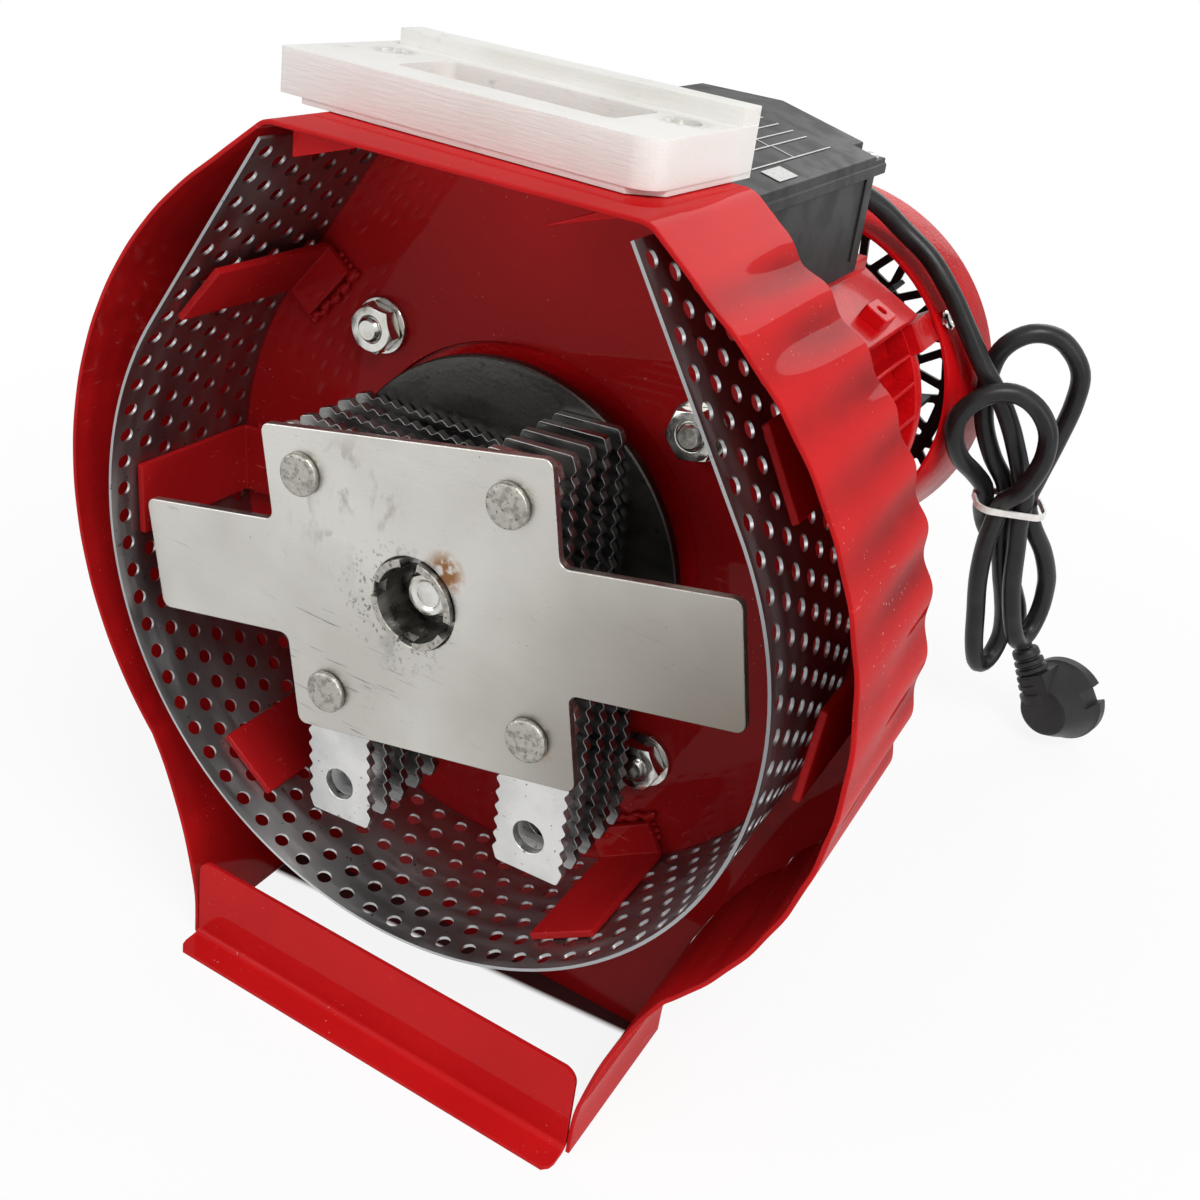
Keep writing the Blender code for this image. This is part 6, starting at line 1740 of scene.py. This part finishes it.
def add_cowl():
    """The flared cowl, its grille and the two screws that hold it to the shield's lugs."""
    sheet, edge, wide = COWL_SHEET, COWL_EDGE, COWL_BACK_RADIUS
    front, back = COWL_FRONT, COWL_BACK
    outside = [(COWL_FRONT_RADIUS - 0.0004, front), (COWL_FRONT_RADIUS, front + 0.0004)]
    outside.append((wide, back - edge))
    outside += [(wide - edge * v, back - edge + edge * s) for s, v in quarter(1)]
    rim = GRILLE_RINGS[-1] + SEAM
    inside = [(rim, back), (rim, back - sheet), (wide - edge - 0.0004, back - sheet)]
    inside += [(wide - sheet, back - edge - 0.0006), (COWL_FRONT_RADIUS - sheet, front)]
    bm = turned(outside + inside, 120)
    add_piece("cowl_shell", bm, CAST, "frame", ["fan_cowl"])
    outline = circle(0.0, 0.0, GRILLE_RINGS[-1] + GRILLE_LAP, 96)
    disc = plate(outline, grille_holes(), back - sheet, back)
    grille = add_piece("cowl_grille", disc, CAST, "frame", sharp=40.0)
    darken_inside(grille)
    flare = (wide - COWL_FRONT_RADIUS) / (back - edge - front)
    seat = COWL_FRONT_RADIUS + flare * COWL_SCREW_REACH
    for i, degrees in enumerate(LUG_ANGLES):
        screw = turned(lifted(PAN_SCREW, seat), 32)
        outward = Vector((*polar(1.0, degrees), 0.0)).xzy
        screw.transform(shift(0.0, front + COWL_SCREW_INSET, 0.0) @ pointing(outward))
        nodes = [f"cowl_screw_{i + 1}"]
        add_piece(f"pan_screw_{i + 1}", screw, ZINC, "frame", nodes)


def darken_inside(obj):
    """Painted shade: the grille's inner face gets the black moulding, for the shade inside the
    cowl.
    """
    obj.data.materials.append(BLACK)
    for face in obj.data.polygons:
        if face.normal.y < 0.5:
            face.material_index = 1


def add_terminal_box():
    """The terminal box with its ribs, lid and the cord's strain relief."""
    half, wall = BOX_HALF_WIDTH, BOX_WALL
    outline = rounded(rect(-half, half, BOX_FRONT, BOX_BACK), BOX_CORNER, 6)
    bm = plate(outline, [], BOX_LOW, BOX_TOP, along="Z")
    obj = add_piece("box_moulding", bm, BOX_BLACK, "frame", ["box_body"])
    hollow = box(
        (wall - half, half - wall),
        (BOX_FRONT + wall, BOX_BACK - wall),
        (BOX_LOW + wall, BOX_TOP + wall),
    )
    carve(obj, "box_hollow", hollow, "DIFFERENCE")
    bore = turned(lifted(GLAND_BORE, BOX_BACK), 32)
    bore.transform(shift(GLAND_X, 0.0, GLAND_Z))
    carve(obj, "gland_bore", bore, "DIFFERENCE")
    bake(obj)
    soften(obj, 0.0006)
    for k, y in enumerate((BOX_FRONT + BOX_RIB_INSET[0], BOX_BACK - BOX_RIB_INSET[1])):
        across = (half - 0.0002, half + BOX_RIB_PROUD)
        rib = box(across, (y, y + BOX_RIB_WIDTH), (BOX_LOW + 0.0060, BOX_TOP - 0.0010))
        add_piece(f"box_rib_{k + 1}", rib, BOX_BLACK, "frame", bevel=0.0003)
    add_lid()
    inner = CORD_RADIUS + GAP
    back = BOX_BACK + wall
    gland = [(inner, BOX_BACK - wall), (GLAND_NECK, BOX_BACK - wall), (GLAND_NECK, BOX_BACK + GAP)]
    gland += [(GLAND_RADIUS - 0.0005, BOX_BACK + GAP), (GLAND_RADIUS, BOX_BACK + 0.0010)]
    gland.append((GLAND_RADIUS, back))
    run = GLAND_LENGTH - wall - 0.0010
    for i in range(GLAND_RIBS):
        y = back + 0.0005 + run * i / GLAND_RIBS
        wide = GLAND_RADIUS - 0.0010 * (1.0 + i / GLAND_RIBS)
        pitch = run / GLAND_RIBS
        gland += [(wide - 0.0010, y), (wide, y + 0.25 * pitch)]
        gland += [(wide, y + 0.65 * pitch), (wide - 0.0010, y + 0.9 * pitch)]
    gland += [(GLAND_TIP, BOX_BACK + GLAND_LENGTH), (inner, BOX_BACK + GLAND_LENGTH)]
    bm = turned(gland, 40)
    bm.transform(shift(GLAND_X, 0.0, GLAND_Z))
    add_piece("strain_relief", bm, VINYL, "frame", ["cord_gland"], sharp=50.0)


def add_lid():
    """The lid with its lip, a flat left half and a right half that slopes to the edge."""
    half = BOX_HALF_WIDTH
    lip = half + LID_LIP
    low = BOX_TOP + GAP
    wall = lip - LID_STEP
    under = [(lip, low - LID_LIP), (half + GAP, low - LID_LIP), (half + GAP, low)]
    section = [(-x, z) for x, z in under] + under[::-1]
    section += [(lip, low + 0.0014), (wall, low + 0.0020), (wall, LID_LOW)]
    section += [(LID_CREASE_X, LID_TOP), (0.0030 - lip, LID_TOP), (-wall, LID_TOP - 0.0040)]
    section += [(-wall, low + 0.0020), (-lip, low + 0.0014)]
    bm = plate(section, [], BOX_FRONT - LID_LIP, BOX_BACK + LID_LIP)
    obj = add_piece("lid_moulding", bm, BOX_BLACK, "frame", ["box_lid"])
    notch = box(
        (lip - LID_NOTCH[0], lip + 0.0020),
        (BOX_BACK - LID_NOTCH[1], BOX_BACK + 0.0060),
        (LID_LOW - LID_NOTCH[2], LID_TOP),
    )
    carve(obj, "lid_notch", notch, "DIFFERENCE")
    bake(obj)
    soften(obj, 0.0009, 3)
    screw = turned(LID_SCREW, 28)
    x, y = LID_SCREW_INSET
    screw.transform(shift(lip - x, BOX_BACK - y, LID_LOW - 0.0010) @ turn_about("X", 90.0))
    add_piece("lid_screw", screw, ZINC, "frame")
    add_blank_table((LID_LOW - LID_TOP) / (lip - LID_CREASE_X))


def add_blank_table(slope):
    """An empty printed table on the lid's slope, in place of a rating plate."""
    place = shift(LID_CREASE_X, 0.0, LID_TOP + 0.00006)
    place @= Matrix.Rotation(-math.atan(slope), 4, "Y")

    def line(name, u0, u1, y0, y1):
        bm = box((u0, u1), (BOX_FRONT + y0, BOX_FRONT + y1), (0.0, PRINT_THICKNESS))
        bm.transform(place)
        add_piece(name, bm, PRINT, "frame")

    for k, (u, start, end) in enumerate(TABLE_LINES):
        line(f"table_line_{k}", u, u + PRINT_LINE, start, end)
    for k, (first, last, y) in enumerate(TABLE_SPLITS):
        line(f"table_split_{k}", first, last, y, y + PRINT_LINE)
    line("table_square", *TABLE_SQUARE[0], *TABLE_SQUARE[1])


def add_support():
    """The stand under the motor, seated on its fins."""
    floor = -AXIS.z
    seat_radius = SUPPORT_SEAT_RADIUS + GAP
    half_angle = math.degrees(math.asin(SUPPORT_SEAT / seat_radius))
    seat = [polar(seat_radius, -90.0 - half_angle + i * half_angle / 8.0) for i in range(17)]
    waist = seat[0][1] - 2.0 * SUPPORT_SHEET
    top = floor + SUPPORT_SHEET
    right = [(SUPPORT_SEAT, waist), (SUPPORT_NECK, top), (SUPPORT_HALF_WIDTH, top)]
    right.append((SUPPORT_HALF_WIDTH, floor))
    outline = seat + right + [(-x, z) for x, z in reversed(right)]
    bm = plate(outline, [], *SUPPORT_Y)
    add_piece("motor_stand", bm, RED, "frame", ["rear_support"], 0.0008)


def hank_axes():
    """The ways across, up and forward of the hank's tie."""
    along = Vector(HANK_ALONG).normalized()
    lean = Vector(HANK_LEAN)
    up = (lean - along * lean.dot(along)).normalized()
    return along, up, along.cross(up)


def hank_point(share):
    along, up, forward = hank_axes()
    offset = along * share[0] + up * share[1] + forward * share[2]
    return Vector(HANK_CENTRE) + offset * CORD_RADIUS


def add_cord():
    """One unbroken cord from the strain relief through the lead and the hank to the plug."""
    hank_route = [hank_point(share) for share in HANK_ROUTE_SHARES]
    lead_route = [Vector(share) * DRUM_RADIUS for share in LEAD_ROUTE_SHARES]
    start = Vector((GLAND_X, BOX_BACK + GLAND_LENGTH + GAP, GLAND_Z))
    forward = Vector((0.0, 2.0 * CORD_RADIUS, 0.0))
    points, length = smooth_points([start, start + forward] + lead_route + hank_route, CORD_STEP)
    curve = bpy.data.curves.new("mains_cord", "CURVE")
    curve.dimensions = "3D"
    curve.bevel_depth = CORD_RADIUS
    curve.bevel_resolution = 6
    curve.use_fill_caps = True
    spline = curve.splines.new("POLY")
    spline.points.add(len(points) - 1)
    for slot, point in zip(spline.points, points):
        slot.co = (*point, 1.0)
    spline.use_smooth = True
    curve.materials.append(VINYL)
    cord = new_object("mains_cord", curve)
    cord.location = AXIS
    settle(cord, "frame", ["cord_lead", "cord_hank"])
    heading = (points[-1] - points[-2]).normalized()
    pieces = [add_tie()] + add_plug(points[-1], heading)


def add_tie():
    """The band of the cable tie round the hank."""
    loops = []
    for sheet, corner in ((TIE_SHEET, TIE_CORNERS[0]), (0.0, TIE_CORNERS[1])):
        wide, front, behind = TIE_HALF_WIDTH + sheet, TIE_FRONT + sheet, -TIE_BEHIND - sheet
        corners = [(wide, behind), (wide, front), (-wide, front), (-wide, behind)]
        loops.append(rounded(corners, corner, 10))
    band = plate(loops[0], loops[1:], -TIE_HEIGHT / 2.0, TIE_HEIGHT / 2.0, along="Z")
    along, up, forward = hank_axes()
    axes = Matrix((along, forward, -up)).transposed().to_4x4()
    band.transform(Matrix.Translation(HANK_CENTRE) @ axes)
    return add_piece("tie_band", band, TIE, "frame", ["cable_tie"], 0.0003)


def pointing(direction):
    """Turns Y to a direction."""
    return Vector((0.0, 1.0, 0.0)).rotation_difference(direction).to_matrix().to_4x4()


def facing(axis, outward):
    """Turns Y to the plug's axis and Z to a way out from it."""
    return Matrix((axis.cross(outward), axis, outward)).transposed().to_4x4()


def add_plug(end, heading):
    """A round angled plug on its rim, with a ribbed boot, a raised back and two pins."""
    axis = Vector(PLUG_AXIS).normalized()
    centre = Vector((*PLUG_CENTRE, PLUG_RADIUS - AXIS.z))
    half = PLUG_DEPTH / 2.0
    to_boot = (-heading + axis * heading.dot(axis)).normalized()
    sideways = axis.cross(to_boot)
    body = turned(lifted(PLUG_BACK, -half) + lifted(PLUG_FACE, half), 72)
    body.transform(Matrix.Translation(centre) @ pointing(axis))
    plug = add_piece("plug_moulding", body, BLACK, "frame", ["plug"])
    low, high = PLUG_RADIUS - NOTCH_DEPTH, PLUG_RADIUS + 0.0040
    for i, side in enumerate((-1.0, 1.0)):
        notch = box((-NOTCH_WIDTH, NOTCH_WIDTH), (half - NOTCH_LENGTH, half + 0.0040), (low, high))
        notch.transform(Matrix.Translation(centre) @ facing(axis, sideways * side))
        carve(plug, f"plug_notch_{i}", notch, "DIFFERENCE")
    spine = box((-SPINE_WIDTH, SPINE_WIDTH), (-half + 0.0004, half - 0.0090), SPINE_HEIGHT)
    spine.transform(Matrix.Translation(centre) @ facing(axis, to_boot))
    carve(plug, "plug_spine", spine, "UNION")
    bake(plug)
    soften(plug, 0.0010, 3)
    profile = [(0.0, 0.0), (0.0058, 0.0), (0.0066, 0.0010)]
    run = BOOT_LENGTH - 0.0070
    for i in range(BOOT_RIBS):
        y = 0.0022 + run * i / BOOT_RIBS
        wide = BOOT_RADIUS + BOOT_FLARE * i / BOOT_RIBS
        profile += [(wide, y), (wide, y + run * 0.55 / BOOT_RIBS)]
        profile += [(wide - BOOT_GROOVE, y + run * share / BOOT_RIBS) for share in (0.65, 0.95)]
    profile += [(0.0100, BOOT_LENGTH - 0.0040), (0.0102, BOOT_LENGTH), (0.0, BOOT_LENGTH)]
    boot = turned(profile, 40)
    boot.transform(Matrix.Translation(end + heading * GAP) @ pointing(heading))
    made = [plug, add_piece("plug_boot", boot, BLACK, "frame", bevel=0.0003)]
    for i, side in enumerate((-1.0, 1.0)):
        root = centre + axis * (half + GAP) + to_boot * side * PIN_SPACING
        pin = turned(CONTACT_PIN, 32)
        pin.transform(Matrix.Translation(root) @ pointing(axis))
        name, nodes = f"contact_pin_{i + 1}", [f"plug_pin_{i + 1}"]
        made.append(add_piece(name, pin, NICKEL, "frame", nodes))
    return made


def dress_hidden_nodes():
    looks = {"stator": CORE, "motor_rotor": CORE, "bearing_front": ZINC, "bearing_rear": ZINC}
    for name, look in looks.items():
        mesh = frame["nodes"][name].data
        mesh.materials.clear()
        mesh.materials.append(look)


def add_camera():
    """The photograph's camera, from its solved angles and place."""
    az, el, roll = (math.radians(a) for a in (CAMERA_AZIMUTH, CAMERA_ELEVATION, CAMERA_ROLL))
    back = Vector((math.sin(az) * math.cos(el), -math.cos(az) * math.cos(el), math.sin(el)))
    right = Vector((math.cos(az), math.sin(az), 0.0))
    up = back.cross(right)
    across = right * math.cos(roll) + up * math.sin(roll)
    above = up * math.cos(roll) - right * math.sin(roll)
    pose = Matrix((across, above, back)).transposed().to_4x4()
    pose.translation = Vector(CAMERA_SPOT) + AXIS
    data = bpy.data.cameras.new("camera")
    data.sensor_width = SENSOR
    data.lens = FOCAL_PIXELS / PHOTO_SIZE * SENSOR
    data.shift_x = (PHOTO_SIZE / 2.0 - PRINCIPAL_PIXELS[0]) / PHOTO_SIZE
    data.shift_y = (PRINCIPAL_PIXELS[1] - PHOTO_SIZE / 2.0) / PHOTO_SIZE
    data.clip_start = CLIP_START
    camera = new_object("camera", data)
    camera.matrix_world = pose
    bpy.context.scene.camera = camera


def add_light(name, place, width, height, power):
    data = bpy.data.lights.new(name, "AREA")
    data.shape = "RECTANGLE"
    data.size = width
    data.size_y = height
    data.energy = power
    lamp = new_object(name, data)
    lamp.location = place
    direction = Vector(LAMP_TARGET) - Vector(place)
    lamp.rotation_euler = direction.to_track_quat("-Z", "Y").to_euler()


def foot_shadow(look):
    """1 in the dark corner where the back plate meets the floor, 0 elsewhere."""
    x, y, _ = look.parts()
    across = look.maths("SUBTRACT", y, look.times(x, SHADOW_SLANT))
    plate_y = AXIS.y + BACK_PLATE_FRONT
    start = plate_y - SHADOW_DEPTH
    front = look.ramp(across, start, start + SHADOW_EDGE)
    back = look.ramp(y, plate_y + 2.0 * SHEET, plate_y + SHEET)
    side = look.ramp(look.maths("ABSOLUTE", x, 0.0), LEG_HALF_WIDTH, LEG_HALF_WIDTH - SHEET)
    return look.times(look.times(front, back), side)


def add_floor():
    """A pale floor that fades to plain white around the mill and keeps its shadow."""
    bm = bmesh.new()
    bmesh.ops.create_circle(bm, cap_ends=True, segments=64, radius=FLOOR_RADIUS)
    mesh = bpy.data.meshes.new("floor")
    bm.to_mesh(mesh)
    bm.free()
    floor = new_object("floor", mesh)
    floor.location = (0.0, 0.0, -FLOOR_DROP)
    look = Look("pale_floor", FLOOR_COLOUR, 0.9)
    shadow = foot_shadow(look)
    look.tint(SHADOW_COLOUR, shadow)
    length = look.add("ShaderNodeVectorMath", operation="LENGTH")
    look.join(look.place, length.inputs[0])
    white = look.ramp(length.outputs["Value"], *WHITE_SPAN)
    white.node.inputs["To Min"].default_value = LEAST_WHITE
    rays = look.add("ShaderNodeLightPath").outputs
    seen = look.maths("MAXIMUM", rays["Is Camera Ray"], rays["Is Glossy Ray"])
    lit = look.maths("SUBTRACT", look.times(white, seen), shadow)
    lit.node.use_clamp = True
    glow = look.add("ShaderNodeEmission")
    mix = look.add("ShaderNodeMixShader")
    look.join(lit, mix.inputs["Fac"])
    look.join(look.shader.outputs["BSDF"], mix.inputs[1])
    look.join(glow.outputs["Emission"], mix.inputs[2])
    look.join(mix.outputs["Shader"], look.tree.nodes["Material Output"].inputs["Surface"])
    mesh.materials.append(look.material)


def add_world():
    """White as it is seen, in metal and through glass too, and a dimmer light on the mill."""
    world = bpy.data.worlds.new("white_room")
    bpy.context.scene.world = world
    world.use_nodes = True
    nodes, links = world.node_tree.nodes, world.node_tree.links
    light = nodes["Background"]
    seen = nodes.new("ShaderNodeBackground")
    for shader, strength in ((light, WORLD_STRENGTH), (seen, 1.0)):
        shader.inputs["Color"].default_value = (1.0, 1.0, 1.0, 1.0)
        shader.inputs["Strength"].default_value = strength
    rays = nodes.new("ShaderNodeLightPath").outputs
    shown = rays["Is Camera Ray"]
    for kind in ("Is Glossy Ray", "Is Transmission Ray"):
        either = nodes.new("ShaderNodeMath")
        either.operation = "MAXIMUM"
        links.new(shown, either.inputs[0])
        links.new(rays[kind], either.inputs[1])
        shown = either.outputs[0]
    mix = nodes.new("ShaderNodeMixShader")
    links.new(shown, mix.inputs["Fac"])
    links.new(light.outputs["Background"], mix.inputs[1])
    links.new(seen.outputs["Background"], mix.inputs[2])
    links.new(mix.outputs["Shader"], nodes["World Output"].inputs["Surface"])


def add_studio():
    """A pale floor, four soft lamps and a white surrounding."""
    add_floor()
    for lamp in LAMPS:
        add_light(*lamp)
    add_world()


def build():
    add_camera()
    add_cord()
    line = add_casing()
    add_back_plate(line)
    add_front_rail()
    add_feed_block()
    add_sieve()
    add_rotor_plate()
    add_rotor_disc()
    add_stacks()
    add_hub()
    add_nuts()
    add_motor()
    add_terminal_box()
    add_support()
    dress_hidden_nodes()
    add_studio()
    bpy.context.scene.view_settings.view_transform = "Standard"


build()
